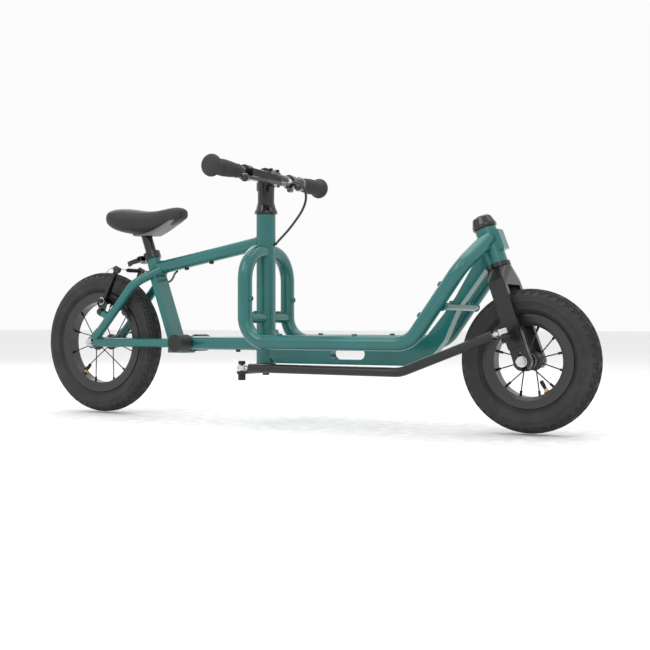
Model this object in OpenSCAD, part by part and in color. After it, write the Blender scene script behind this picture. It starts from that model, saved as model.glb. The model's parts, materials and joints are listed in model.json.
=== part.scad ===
// Two-wheeled child's cargo balance bike with a remote-steered front wheel.
// +X points to the front wheel, +Y to the rider's left, +Z up, the ground is z = 0.
// Inside the modules x runs from the rear axle; at_frame() moves it to the middle of the bike.

/* [Wheels] */
// Distance between the two axles
wheelbase = 964; // [920:1:1040]
// Outside diameter of the rear tyre
rear_tyre_d = 305; // [295:1:312]
// Outside diameter of the front tyre
front_tyre_d = 254; // [240:1:262]
// Width of both tyres
tyre_w = 50; // [42:1:54]
// Width of both rims over the flanges
rim_w = 30; // [26:1:34]
// Number of spokes in each wheel
spoke_n = 12; // [8:2:20]
// Diameter of one spoke
spoke_d = 2.2; // [1.8:0.1:3]
// Diameter of both axles
axle_d = 9.5; // [8:0.5:10]
// Wall of the tyre carcass
tyre_wall = 3.4; // [2.4:0.1:4.5]

/* [Rear frame] */
// Height of the seat tube's top edge
seat_tube_top = 341; // [330:1:346]
// Outside diameter of the seat tube
seat_tube_d = 29; // [28:0.5:31]
// Lean of the seat tube back from upright, in degrees
seat_lean = 20; // [17:0.5:22]
// Outside diameter of the top tube
top_tube_d = 28; // [24:0.5:30]
// Outside diameter of the long lower tube
main_tube_d = 27; // [24:0.5:30]
// Outside diameter of the chain stays and seat stays
stay_d = 18.5; // [16:0.5:20]
// Distance from the middle plane to each stay
stay_y = 40; // [39:0.5:44]
// Diameter of the rubber foot pegs
peg_d = 35; // [32:0.5:38]

/* [Steering column] */
// Distance from the rear axle to the steering column
column_x = 419; // [405:1:430]
// Outside diameter of the column tube
column_d = 38; // [36:0.5:40]
// Height of the column tube's top edge
column_top = 407; // [395:1:420]
// Height of the column tube's bottom edge
column_bottom = 114; // [112:1:118]
// Diameter of the steerer inside the column
steerer_d = 25.4; // [22:0.2:28.6]
// Diameter of the riser below the handlebar
riser_d = 33; // [31:0.5:36]
// Height of the handlebar
bar_z = 481; // [475:1:500]
// Overall width of the handlebar with its grips
bar_w = 406; // [380:2:430]
// Diameter of the handlebar tube
bar_d = 22.2; // [21:0.1:23]
// Length of each grip
grip_l = 92; // [84:1:100]
// Diameter of the end knob on each grip
knob_d = 42; // [38:1:46]

/* [Cargo bed] */
// Outside diameter of the hoop and the two bed rails
rail_d = 28; // [25:0.5:30]
// Distance from the middle plane to each rail
rail_y = 77; // [70:1:84]
// Height of the rails' centre line
rail_z = 156.5; // [155:0.5:160]
// Height of the hoop's top centre line
hoop_top = 334; // [320:1:345]
// Bend radius of the hoop's shoulders
hoop_r = 58; // [50:1:60]
// Width of the box-section keel and down tube
keel_w = 22; // [18:1:26]
// Wall of every round frame tube
tube_wall = 1.6; // [1.2:0.1:2.2]

/* [Fork] */
// Lean of the head tube back from upright, in degrees
head_lean = 20.4; // [18:0.1:22]
// Outside diameter of the head tube
head_d = 38; // [36:0.5:40]
// Length of the head tube
head_l = 66; // [60:1:72]
// Distance from the middle plane to each fork blade's inner face
blade_in = 30; // [28.5:0.5:34]
// Thickness of each fork blade
blade_t = 12; // [9:0.5:14]
// Depth of each fork blade from front to back
blade_depth = 29; // [24:0.5:32]

/* [Steering link] */
// Distance from the steering axes to the ball joints
link_y = 77; // [74:1:82]
// Diameter of the link rod
rod_d = 17; // [14:0.5:18]
// Diameter of the balls in the rod ends
ball_d = 11; // [10:0.5:12]

/* [Saddle] */
// Length of the saddle
saddle_l = 190; // [180:1:210]
// Greatest width of the saddle
saddle_w = 126; // [110:1:140]
// Diameter of the seatpost
post_d = 22.2; // [21:0.1:23]

/* [Fits] */
// Radial clearance of a shaft that turns or slides in its bore
run_gap = 0.05; // [0.02:0.01:0.1]
// Radial clearance of a bolt or a tube that is clamped
fit_gap = 0.1; // [0.05:0.05:0.2]

/* [Hidden] */

// Colours
TEAL = [0.08, 0.50, 0.50];
BLACK = [0.10, 0.10, 0.11];
RUBBER = [0.20, 0.20, 0.21];
CHROME = [0.80, 0.81, 0.83];
GREY = [0.50, 0.50, 0.51];

$fn = 48;
valve_d = 6;
valve_l = 46;
rear_valve = 230;
front_valve = -60;

// Places along the bike, from the rear axle
rear_r = rear_tyre_d / 2;
front_r = front_tyre_d / 2;
middle_x = (wheelbase - rear_r + front_r) / 2;

// Wheels
bead_depth = 51;
flange_h = 6;
rim_depth = 14;
hub_half = 30;
hub_r = 11;
hub_flange_r = 17;
hub_flange_y = 22;

// Rear frame
drop_t = 4;
drop_mid = stay_y;
nut_af = 15;
nut_h = 8;
washer_t = 1.5;
axle_half = drop_mid + drop_t / 2 + washer_t + nut_h + 2;
seat_axis_x = 198.4;
shell_x = 232;
shell_d = 30;
peg_in = 10;
peg_out = 53;
top_tube_lean = 9.6;
stay_angle = 47.7;

// Steering column
cup_h = 9;
riser_z = 424;
arm_z = 95.5;
arm_t = 5.5;
bar_x = column_x + 8;
stem_r = 17.5;
stem_w = 36;
grip_end = bar_w / 2;

// Cargo bed
hoop_x = column_x + 2;
hoop_foot = 212;
foot_r = 50;
slope = 53.9;
slope_x = 770.4;
bend_r = 50;
keel_bottom = 114.4;
keel_top = 152;
keel_front = 745;
cross_d = 22;
front_cross_x = 832;
front_cross_z = 222;

// Fork
head_low_x = 905;
head_low_z = 296;

// Steering link
rod_z = 107;
link_x = column_x - 5;
fork_ball_x = 943;
fork_ball_z = 178;
ball_bolt_d = 6;
eye_d = 16;
eye_h = 9;
socket_gap = 0.3;
open_gap = 2;

// Route of the front brake hose, from the lever to the column
FRONT_HOSE = [[466, 18, 473], [470, 34, 472], [474, 50, 466], [475, 60, 452], [472, 63, 436],
    [466, 59, 418], [458, 50, 400], [450, 38, 382], [444, 24, 367], [440, 11, 355], [441, 2, 349]];
// Route of the rear brake hose, from the top tube to the noodle
REAR_HOSE = [[190, 10, 302.3], [174, 22, 297], [158, 36, 289], [142, 46, 283], [126, 52, 282],
    [112, 55, 288], [102, 56, 298]];
hose_r = 2.5;
bend_lap = 0.5;

// ---------------------------------------------------------------- helpers

// Moves a piece from the rear-axle frame to the bike's own frame
module at_frame() translate([-middle_x, 0, 0]) children();

// Both sides of the middle plane
module both() for (s = [-1, 1]) scale_y(s) children();
module scale_y(s) if (s > 0) children(); else mirror([0, 1, 0]) children();

// Turns +Z to point along d
module aim(d) rotate([0, acos(d[2] / norm(d)), atan2(d[1], d[0])]) children();

// A rod along Y from y0 to y1
module along_y(y0, y1) translate([0, y0, 0]) rotate([-90, 0, 0]) children();
module rod_y(r, y0, y1) along_y(y0, y1) cylinder(r = r, h = y1 - y0);

// A ring-section tube between two points
module tube(a, b, d, wall) translate(a) aim(b - a) difference() {
    cylinder(d = d, h = norm(b - a));
    translate([0, 0, -1]) cylinder(d = d - 2 * wall, h = norm(b - a) + 2);
}

// The solid space that a straight tube fills, used to cope what meets it
module tube_space(a, b, d, over = 20) {
    u = (b - a) / norm(b - a);
    translate(a - over * u) aim(b - a) cylinder(d = d, h = norm(b - a) + 2 * over);
}

function unit(v) = v / norm(v);
function corner_angle(p, i) = acos(max(-1, min(1, unit(p[i] - p[i - 1]) * unit(p[i + 1] - p[i]))));
function corner_cut(p, r, i) = i <= 0 || i >= len(p) - 1 ? 0 : r[i] * tan(corner_angle(p, i) / 2);

// A tube bent at each inner point of p, with the bend radius r[i]
module bent_tube(p, r, d, wall) {
    u = unit(p[1] - p[0]);
    tilt = acos(u[2]);
    turn = atan2(u[1], u[0]);
    translate(p[0]) rotate([0, tilt, turn])
        tube_run(p, r, d, wall, 0, [cos(tilt) * cos(turn), cos(tilt) * sin(turn), -sin(tilt)]);
}

// The straight piece after point i along z, then the bend after it and the rest; x is the local x axis
module tube_run(p, r, d, wall, i, x) {
    u = unit(p[i + 1] - p[i]);
    l = norm(p[i + 1] - p[i]) - corner_cut(p, r, i) - corner_cut(p, r, i + 1);
    // Straight pieces reach a little into the bends, whose wall is a little thicker
    low = i > 0 ? bend_lap : 0;
    high = i < len(p) - 2 ? bend_lap : 0;
    translate([0, 0, -low]) difference() {
        cylinder(d = d, h = low + l + high);
        translate([0, 0, -1]) cylinder(d = d - 2 * wall, h = low + l + high + 2);
    }
    if (i < len(p) - 2) {
        v = unit(p[i + 2] - p[i + 1]);
        turn = corner_angle(p, i + 1);
        n = unit(v - (v * u) * u);
        roll = atan2(cross(x, n) * u, x * n);
        rb = r[i + 1];
        translate([0, 0, l]) rotate([0, 0, roll]) translate([rb, 0, 0]) {
            rotate([90, 0, 180]) rotate_extrude(angle = turn, $fn = 96) translate([rb, 0]) ring(d + 0.1, wall + 0.1);
            rotate([0, turn, 0]) translate([-rb, 0, 0])
                tube_run(p, r, d, wall, i + 1, cos(turn) * n - sin(turn) * u);
        }
    }
}

module ring(d, wall) difference() {
    circle(d = d);
    circle(d = d - 2 * wall);
}

// A round hose swept through the points p, one ring at each point of the smooth curve
function curve_at(a, b, c, d, t) = 0.5 * (2 * b + (c - a) * t + (2 * a - 5 * b + 4 * c - d) * t * t
    + (3 * b - a - 3 * c + d) * t * t * t);
function smooth(p, k) = concat([for (i = [0:len(p) - 2], j = [0:k - 1])
    curve_at(p[max(0, i - 1)], p[i], p[i + 1], p[min(len(p) - 1, i + 2)], j / k)], [p[len(p) - 1]]);
module hose(p, r, sides = 10) {
    q = smooth(p, 2);
    m = len(q);
    function dir(i) = unit(q[min(m - 1, i + 1)] - q[max(0, i - 1)]);
    function side(i) = unit(cross(dir(i), [1, 0.2, 0]));
    pts = [for (i = [0:m - 1], j = [0:sides - 1]) q[i] + r * cos(360 * j / sides) * side(i)
        + r * sin(360 * j / sides) * cross(dir(i), side(i))];
    walls = [for (i = [0:m - 2], j = [0:sides - 1])
        [i * sides + j, (i + 1) * sides + j, (i + 1) * sides + (j + 1) % sides, i * sides + (j + 1) % sides]];
    caps = [[for (j = [0:sides - 1]) j], [for (j = [sides - 1:-1:0]) (m - 1) * sides + j]];
    polyhedron(pts, concat(walls, caps));
}

// A hexagon nut or bolt head with its axis on Z
module hex(af, h, bore = 0) difference() {
    cylinder(d = af / cos(30), h = h, $fn = 6);
    if (bore > 0) translate([0, 0, -1]) cylinder(d = bore, h = h + 2);
}

// Arc points in a profile, from angle a to b about c
function arc(c, r, a, b, n = 8) = [for (i = [0:n]) c + r * [cos(a + (b - a) * i / n), sin(a + (b - a) * i / n)]];

// Extrudes an outline drawn in x and z to both sides of the middle plane
module slab(w) translate([0, w / 2, 0]) rotate([90, 0, 0]) linear_extrude(w) children();

// ---------------------------------------------------------------- wheels

// Everything in a wheel is turned about Y at its axle
module at_axle(x, r) translate([x, 0, r]) rotate([90, 0, 0]) children();

module tyre(r) rotate_extrude($fn = 120) {
    bead = r - bead_depth;
    difference() {
        translate([r - tyre_w / 2, 0]) circle(d = tyre_w, $fn = 64);
        translate([r - tyre_w / 2, 0]) circle(d = tyre_w - 2 * tyre_wall, $fn = 64);
        translate([0, -tyre_w]) square([bead + flange_h + 0.3, 2 * tyre_w]);
    }
    for (s = [-1, 1]) translate([bead + 0.3, s * (rim_w / 2 - 4) - 1.7]) square([flange_h + 2.6, 3.4]);
}

module rim(r, valve_angle) difference() {
    bead = r - bead_depth;
    in_w = rim_w / 2 - 3;
    lip = rim_w / 2 - 1.8;
    rotate_extrude($fn = 120) difference() {
        polygon([[bead - rim_depth, -in_w], [bead - rim_depth, in_w], [bead - 8, rim_w / 2 - 1],
            [bead, rim_w / 2], [bead + flange_h, rim_w / 2], [bead + flange_h, lip], [bead, lip],
            [bead, -lip], [bead + flange_h, -lip], [bead + flange_h, -rim_w / 2], [bead, -rim_w / 2],
            [bead - 8, 1 - rim_w / 2]]);
        polygon([[bead - rim_depth + 1.8, 1.5 - in_w], [bead - rim_depth + 1.8, in_w - 1.5],
            [bead - 7.5, lip - 1], [bead - 1.8, lip - 0.2], [bead - 1.8, 0.2 - lip], [bead - 7.5, 1 - lip]]);
    }
    rotate([0, 0, valve_angle]) rotate([0, 90, 0]) translate([0, 0, bead - rim_depth - 3])
        cylinder(d = valve_d + 2 * fit_gap, h = rim_depth + 6, $fn = 24);
}

module inner_tube(r, valve_angle) {
    mid = r - tyre_w / 2 + 2;
    tube_r = tyre_w / 2 - tyre_wall - 4;
    rotate([0, 0, valve_angle]) difference() {
        union() {
            rotate_extrude($fn = 96) translate([mid, 0]) circle(r = tube_r, $fn = 48);
            rotate([0, 90, 0]) translate([0, 0, mid - tube_r - valve_l]) cylinder(d = valve_d, h = valve_l + 4);
        }
        rotate_extrude($fn = 96) translate([mid, 0]) circle(r = tube_r - 1.2, $fn = 48);
        rotate([0, 90, 0]) translate([0, 0, mid - tube_r - valve_l - 1]) cylinder(d = 2, h = valve_l + 8);
    }
}

module hub(half, flange_y) rotate_extrude($fn = 64) {
    land = axle_d / 2 + run_gap;
    polygon([[land, -half], [14, -half], [14, -flange_y - 1.5], [hub_flange_r, -flange_y - 1.5],
        [hub_flange_r, 1.5 - flange_y], [hub_r, 5 - flange_y], [hub_r, flange_y - 5],
        [hub_flange_r, flange_y - 1.5], [hub_flange_r, flange_y + 1.5], [14, flange_y + 1.5],
        [14, half], [land, half], [land, half - 6], [land + 2, half - 6], [land + 2, 6 - half],
        [land, 6 - half]]);
}

// Spokes leave the two hub flanges in turn and end in nipples at the rim
module spokes(r, flange_y) for (i = [0:spoke_n - 1]) rotate([0, 0, 360 * (i + 0.5) / spoke_n]) {
    side = i % 2 == 0 ? 1 : -1;
    from = [hub_flange_r - 1.2, 0, side * flange_y];
    to = [r - bead_depth - rim_depth + 1.2, 0, side * 3];
    l = norm(to - from);
    translate(from) aim(to - from) rotate_extrude($fn = 16)
        polygon([[0, 0], [spoke_d / 2, 0], [spoke_d / 2, l - 11], [2.3, l - 10], [2.3, l], [0, l]]);
}

// The axle with its cones, washers and nuts, drawn with its axis on Z
module axle(half, hub_end, seat_in, seat_out) {
    cylinder(d = axle_d, h = 2 * half, center = true);
    for (s = [0, 1]) mirror([0, 0, s]) {
        translate([0, 0, hub_end + 0.3]) difference() {
            cylinder(d = 15, h = seat_in - hub_end - 0.3);
            translate([0, 0, -1]) cylinder(d = axle_d + 2 * fit_gap, h = 20);
        }
        translate([0, 0, seat_out]) difference() {
            cylinder(d = 19, h = washer_t);
            translate([0, 0, -1]) cylinder(d = axle_d + 2 * fit_gap, h = 5);
        }
        translate([0, 0, seat_out + washer_t]) hex(nut_af, nut_h, axle_d + 2 * fit_gap);
    }
}

module rear_tyre() color(RUBBER) at_frame() at_axle(0, rear_r) tyre(rear_r);
module rear_tube() color(BLACK) at_frame() at_axle(0, rear_r) inner_tube(rear_r, rear_valve);
module rear_rim() color(BLACK) at_frame() at_axle(0, rear_r) rim(rear_r, rear_valve);
module rear_hub() color(BLACK) at_frame() at_axle(0, rear_r) hub(hub_half, hub_flange_y);
module rear_spokes() color(BLACK) at_frame() at_axle(0, rear_r) spokes(rear_r, hub_flange_y);
module rear_axle() color(CHROME) at_frame() at_axle(0, rear_r)
    axle(axle_half, hub_half, drop_mid - drop_t / 2, drop_mid + drop_t / 2);

front_x = wheelbase;
front_hub_end = blade_in - 4;
front_flange_y = blade_in - 10;
module front_tyre() color(RUBBER) at_frame() at_axle(front_x, front_r) tyre(front_r);
module front_tube() color(BLACK) at_frame() at_axle(front_x, front_r) inner_tube(front_r, front_valve);
module front_rim() color(BLACK) at_frame() at_axle(front_x, front_r) rim(front_r, front_valve);
module front_hub() color(BLACK) at_frame() at_axle(front_x, front_r) hub(front_hub_end, front_flange_y);
module front_spokes() color(BLACK) at_frame() at_axle(front_x, front_r) spokes(front_r, front_flange_y);
module front_axle() color(CHROME) at_frame() at_axle(front_x, front_r)
    axle(blade_in + blade_t + washer_t + nut_h + 1, front_hub_end, blade_in, blade_in + blade_t);

// ---------------------------------------------------------------- rear frame

function seat_at(z) = [seat_axis_x - (z - rear_r) * tan(seat_lean), 0, z];
top_a = seat_at(308);
top_b = [column_x, 0, 308 + (column_x - top_a[0]) * tan(top_tube_lean)];
shell_at = [shell_x, 0, rear_r];
stay_dir = [cos(stay_angle), 0, sin(stay_angle)];
stay_low = [8, stay_y, rear_r + 7];
stay_knee = stay_low + 158 * stay_dir;
stay_top = [160, 6, 306];
flat_x = 15;
flat_y = 38;
knee_z = 291;
flat_l = norm(seat_at(knee_z) - seat_at(rear_r + 8)) + 3;

// Frame of the seat tube at height z: z up the tube, x forward
module at_seat(z) translate(seat_at(z)) rotate([0, -seat_lean, 0]) children();
module seat_space() tube_space(seat_at(280), seat_at(seat_tube_top), seat_tube_d);
module column_space() translate([column_x, 0, 0]) cylinder(d = column_d, h = column_top + 40);

module column_tube() color(TEAL) at_frame() translate([column_x, 0, 0]) difference() {
    translate([0, 0, column_bottom]) cylinder(d = column_d, h = column_top - column_bottom);
    translate([0, 0, column_bottom - 1]) cylinder(d = column_d - 2 * column_wall, h = column_top);
    translate([0, 0, 348]) rotate([0, 90, 0]) cylinder(d = 2 * hose_r + 1, h = column_d);
}

module cup_ring(r_out, r_in, h) difference() {
    cylinder(r = r_out, h = h);
    translate([0, 0, -1]) cylinder(r = r_in, h = h + 2);
}

// A pressed-in cup: its skirt goes cup_h into a tube, its flange stays outside
module cup(r_flange, r_skirt, r_bore, flange) difference() {
    union() {
        cylinder(r = r_flange, h = flange);
        cylinder(r = r_skirt - fit_gap, h = flange + cup_h);
    }
    translate([0, 0, -1]) cylinder(r = r_bore, h = flange + cup_h + 2);
}

module headset_cups() color(BLACK) at_frame() {
    r_bore = steerer_d / 2 + run_gap;
    r_col = column_d / 2 - column_wall;
    r_head = head_d / 2 - column_wall;
    translate([column_x, 0, column_bottom - 7]) cup(column_d / 2 + 1, r_col, r_bore, 7);
    translate([column_x, 0, column_top + 2]) mirror([0, 0, 1]) cup(column_d / 2, r_col, r_bore, 2);
    at_head() {
        translate([0, 0, -7]) cup(22, r_head, r_bore, 7);
        translate([0, 0, head_l + 2]) mirror([0, 0, 1]) cup(head_d / 2, r_head, r_bore, 2);
    }
}

module main_tube() color(TEAL) at_frame() difference() {
    tube(shell_at, [column_x, 0, rear_r], main_tube_d, tube_wall);
    column_space();
    shell_space();
}

module shell_space() translate(shell_at) rod_y(shell_d / 2, -80, 80);

module top_tube() color(TEAL) at_frame() difference() {
    tube(top_a, top_b, top_tube_d, tube_wall);
    column_space();
    seat_space();
}

// Round at the top, where the post slides in, and flattened below the top tube
module seat_tube() color(TEAL) at_frame() {
    difference() {
        at_seat(knee_z)
            cylinder(d = seat_tube_d, h = norm(seat_at(seat_tube_top) - seat_at(knee_z)));
        at_seat(knee_z) translate([0, 0, 6])
            cylinder(r = post_d / 2 + run_gap, h = 80);
        // Clamping slot at the back
        at_seat(seat_tube_top) translate([-seat_tube_d, -1, -16])
            cube([seat_tube_d, 2, 20]);
    }
    difference() {
        at_seat(rear_r + 8) translate([-flat_x / 2, -flat_y / 2, 0])
            cube([flat_x, flat_y, flat_l]);
        at_seat(rear_r) translate([2 - flat_x / 2, 2 - flat_y / 2, 10])
            cube([flat_x - 4, flat_y - 4, norm(seat_at(knee_z) - seat_at(rear_r)) - 14]);
        shell_space();
    }
}

// The cross shell that carries the foot pegs, with the bracket behind it
module crank_shell() color(TEAL) at_frame() {
    difference() {
        translate(shell_at) rod_y(shell_d / 2, -peg_out + 1, peg_out - 1);
        translate(shell_at) rod_y(shell_d / 2 - 2.5, -peg_out, peg_out);
    }
    difference() {
        translate([186, -16, rear_r - 20.5]) cube([shell_x - 186, 32, 28.5]);
        translate([190, -12, rear_r - 16.5]) cube([shell_x - 186, 24, 20.5]);
        shell_space();
        at_seat(rear_r + 8) translate([-30, -30, 0]) cube([60, 60, 60]);
    }
}

module foot_pegs() color(RUBBER) at_frame() both() translate(shell_at) difference() {
    rod_y(peg_d / 2, peg_in, peg_out);
    rod_y(shell_d / 2 + fit_gap, peg_in - 1, peg_out - 1 + fit_gap);
    // Room for the main tube and for the chain stay behind
    translate([0, peg_in - 5, -peg_d]) cube([peg_d, 5 + main_tube_d / 2 + 0.3 - peg_in, 2 * peg_d]);
    translate([-peg_d, stay_y - stay_d / 2 - 0.2, -stay_d / 2 - 0.2])
        cube([peg_d, stay_d + 0.4, stay_d + 0.4]);
    translate([-60, -17, -40]) cube([60, 34, 80]);
}

module chain_stays() color(TEAL) at_frame() both() difference() {
    tube([9, stay_y, rear_r], [shell_x, stay_y, rear_r], stay_d, tube_wall);
    shell_space();
    drop_slot();
}

// Saw cut in a stay's end that takes the dropout plate
module drop_slot() translate([-30, stay_y - drop_t / 2, rear_r - 30]) cube([drop_in + 30, drop_t, 70]);
drop_in = 26;

module seat_stays() color(TEAL) at_frame() {
    both() seat_stay();
    for (s = [-1, 1]) at_brake(s) rotate([0, 90, 0]) {
        translate([0, 0, -22]) cylinder(r = 8, h = 21.7);
        translate([0, 0, -0.5]) cylinder(r = 4, h = 12);
        translate([0, 0, 10.9]) cylinder(r = 6.5, h = 3);
    }
}
module seat_stay() difference() {
    bent_tube([stay_low, stay_knee, stay_top], [0, 60, 0], stay_d, tube_wall);
    tube_space(top_a, top_b, top_tube_d, 60);
    seat_space();
    drop_slot();
    tube_space([8, stay_y, rear_r], [shell_x, stay_y, rear_r], stay_d);
    at_seat(rear_r + 8) translate([-flat_x / 2, -flat_y / 2, 0]) cube([flat_x, flat_y, flat_l]);
    post_space();
    translate([-100, -60, 0]) cube([400, 60, 400]);
}

// Flat plates between the stays' ends that hold the rear axle
module dropouts() color(TEAL) at_frame() both() translate([0, stay_y + drop_t / 2, rear_r]) rotate([90, 0, 0])
    linear_extrude(drop_t) difference() {
        union() {
            circle(r = 13);
            polygon([[-6, -12], [drop_in, -8], [drop_in, 2], [drop_in - 3, 26], [14, 30], [-12, 5]]);
        }
        circle(d = axle_d + 2 * fit_gap);
        translate([-30, -axle_d / 2 - fit_gap]) square([30, axle_d + 2 * fit_gap]);
    }

// Brake posts: studs behind the seat stays on which the brake arms turn
brake_lean = 65;
post_dir = [-sin(brake_lean), 0, cos(brake_lean)];
brake_at = [31, 0, 214];
post_y = stay_y;
arm_dir = [cos(brake_lean), 0, sin(brake_lean)];
// Local frame of the brake: origin at a post, x along the post, z up the arm
module at_brake(side) translate(brake_at + [0, side * post_y, 0])
    multmatrix([[post_dir[0], 0, arm_dir[0], 0], [0, 1, 0, 0], [post_dir[2], 0, arm_dir[2], 0]]) children();
module post_space() at_brake(1) translate([-22, 0, 0]) rotate([0, 90, 0]) cylinder(r = 8, h = 17);

// A brake arm with its pad, drawn for the left side; x runs back along the post
module brake_arm(side) at_brake(side) scale_y(side) {
    difference() {
        union() {
            rotate([0, 90, 0]) cylinder(r = 8.5, h = 10.5);
            // The arm: a tapering bar from the post to the cable end
            translate([2, 0, 0]) rotate([90, 0, 90]) linear_extrude(7)
                polygon([[-7, -4], [8, -4], [9, 20], [7, 60], [3, 104], [-5, 104], [-4, 60], [-5, 24]]);
            translate([-1, -1, 100]) rotate([0, 90, 0]) cylinder(r = 6.5, h = 12);
        }
        translate([-1, 0, 0]) rotate([0, 90, 0]) cylinder(r = 4 + run_gap, h = 20);
        translate([-2, -1, 100]) rotate([0, 90, 0]) cylinder(r = 2.5, h = 20);
        translate([5.5, 20, pad_z]) rotate([90, 0, 0]) cylinder(r = 3 + fit_gap, h = 60);
    }
    // Pad stud with its washers and nut
    translate([5.5, 0, pad_z]) {
        rod_y(3, pad_in + 10, 19);
        rod_y(7, -10, -6);
        rod_y(7.5, 9.6, 12.6);
        along_y(12.6, 18) hex(10, 5);
    }
    // Brake block
    translate([5.5, 0, pad_z]) rotate([0, -8, 0]) translate([-22, pad_in, -4]) cube([44, 10, 8]);
}
pad_z = 26.5;
rim_side = rim_w / 2;
pad_gap = 1.8;
pad_in = rim_side + pad_gap - post_y;

module brake_arm_left() color(BLACK) at_frame() brake_arm(1);
module brake_arm_right() color(BLACK) at_frame() brake_arm(-1);

// The clamp ring round the seat tube's top, with the bolt that the lever pulls
collar_bolt = [-22, 0, -6];
cam_r = 6.5;
cam_y = -7.3 - cam_r;
module seat_collar() color(BLACK) at_frame() at_seat(seat_tube_top) {
    difference() {
        union() {
            translate([0, 0, -13]) cylinder(d = seat_tube_d + 7, h = 14);
            translate([-28, -7, -13]) cube([16, 14, 14]);
        }
        translate([0, 0, -20]) cylinder(r = seat_tube_d / 2 + fit_gap, h = 20);
        translate([0, 0, -1]) cylinder(r = post_d / 2 + fit_gap, h = 20);
        translate([-40, -1, -20]) cube([30, 2, 40]);
        translate(collar_bolt) rod_y(2.5 + fit_gap, -40, 40);
    }
    translate(collar_bolt) {
        rod_y(2.5, cam_y, 15);
        along_y(7, 11) hex(8, 4, 5 + 2 * fit_gap);
        translate([0, cam_y, -6]) cylinder(r = 2.5, h = 12);
    }
}

// The lever turns on the cross pin at the end of the collar's bolt
module quick_lever() color(BLACK) at_frame() at_seat(seat_tube_top) translate(collar_bolt)
    translate([0, cam_y, 0]) difference() {
        union() {
            translate([0, 0, -6]) cylinder(r = cam_r, h = 12);
            hull() {
                translate([-4, -1, -5]) cylinder(r = 2.4, h = 10);
                translate([-21, -4, -3]) cylinder(r = 1.8, h = 9);
            }
            hull() {
                translate([-21, -4, -3]) cylinder(r = 1.8, h = 9);
                translate([-31, -1, -3]) cylinder(r = 3.2, h = 10);
            }
        }
        translate([0, 0, -7]) cylinder(r = 2.5 + run_gap, h = 14);
        translate([-2.9, -cam_r - 1, -2.9]) cube([cam_r + 4, 2 * cam_r + 2, 5.8]);
    }

module seatpost() color(BLACK) at_frame() difference() {
    at_seat(297) cylinder(d = post_d, h = norm(seat_at(388) - seat_at(297)));
    at_seat(297) translate([0, 0, -1]) cylinder(d = post_d - 4, h = 80);
}

// Saddle: outline in x and z, narrowed to a nose in front
saddle_x = 126;
saddle_z = 438;
module saddle() color(RUBBER) at_frame() difference() {
    translate([saddle_x - saddle_l / 2, 0, saddle_z]) {
        hull() {
            translate([34, 0, -26]) scale([34, saddle_w / 2, 26]) sphere(1, $fn = 32);
            translate([60, 0, -33]) scale([44, saddle_w / 2 - 12, 20]) sphere(1, $fn = 32);
        }
        hull() {
            translate([80, 0, -30]) scale([34, 40, 20]) sphere(1, $fn = 32);
            translate([saddle_l - 26, 0, -16]) scale([26, 22, 16]) sphere(1, $fn = 32);
        }
    }
    translate([saddle_x - saddle_l, -saddle_w, 340]) cube([saddle_l * 2, saddle_w * 2, 50]);
    saddle_base_space(0.3);
}
module saddle_base_space(gap) translate([0, 18 + gap, 0]) rotate([90, 0, 0])
    linear_extrude(36 + 2 * gap) if (gap > 0) offset(delta = gap) base_outline();
    else base_outline();
module base_outline()
    polygon([[90, 402], [88, 388], [96, 378], [140, 378], [160, 386], [202, 408], [150, 403]]);
module saddle_base() color(GREY) at_frame() difference() {
    saddle_base_space(0);
    at_seat(370) cylinder(r = post_d / 2 + fit_gap, h = norm(seat_at(388) - seat_at(370)) + 0.2);
}

// ---------------------------------------------------------------- cockpit

module steerer() color(BLACK) at_frame() translate([column_x, 0, 0]) rotate_extrude($fn = 64)
    polygon([[steerer_d / 2 - 3, arm_z + arm_t], [steerer_d / 2, arm_z + arm_t],
        [steerer_d / 2, riser_z - 12], [riser_d / 2, riser_z - 8], [riser_d / 2, bar_z - 17],
        [riser_d / 2 - 3, bar_z - 17], [riser_d / 2 - 3, riser_z - 6], [steerer_d / 2 - 3, riser_z - 10]]);

module headset_cover() color(BLACK) at_frame() translate([column_x, 0, column_top + 2.3])
    rotate_extrude($fn = 64) {
        inner = riser_d / 2 + fit_gap;
        polygon([[steerer_d / 2 + fit_gap, 0], [22.5, 0], [23, 1.5], [22.5, 5], [20, 10], [18, 16],
            [17.4, 20], [inner, 20], [inner, 2.5], [steerer_d / 2 + fit_gap, 2.5]]);
    }

module stem_body() {
    translate([bar_x, 0, bar_z]) rod_y(stem_r, -stem_w / 2, stem_w / 2);
    translate([column_x, 0, bar_z - 26]) cylinder(d = riser_d + 5, h = 16);
}
module bar_space() translate([bar_x, 0, bar_z]) rod_y(bar_d / 2 + fit_gap, -300, 300);

module stem_clamp() color(BLACK) at_frame() difference() {
    union() {
        stem_body();
        hull() {
            translate([column_x, 0, bar_z - 14]) cylinder(d = riser_d + 3, h = 4);
            translate([bar_x - 8, -stem_w / 2, bar_z - 8]) cube([8, stem_w, 8]);
        }
    }
    bar_space();
    translate([column_x, 0, bar_z - 40]) cylinder(r = riser_d / 2 + fit_gap, h = 23.2);
    translate([bar_x + 1, -40, bar_z - 40]) cube([40, 80, 80]);
}
module stem_faceplate() color(BLACK) at_frame() difference() {
    translate([bar_x, 0, bar_z]) rod_y(stem_r, -stem_w / 2, stem_w / 2);
    bar_space();
    translate([bar_x - 38, -40, bar_z - 40]) cube([40, 80, 80]);
    for (y = [-12, 12], z = [-14.3, 14.3]) translate([bar_x - 9, y, bar_z + z]) rotate([0, 90, 0])
        cylinder(r = 2.5 + fit_gap, h = 40);
}

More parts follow.
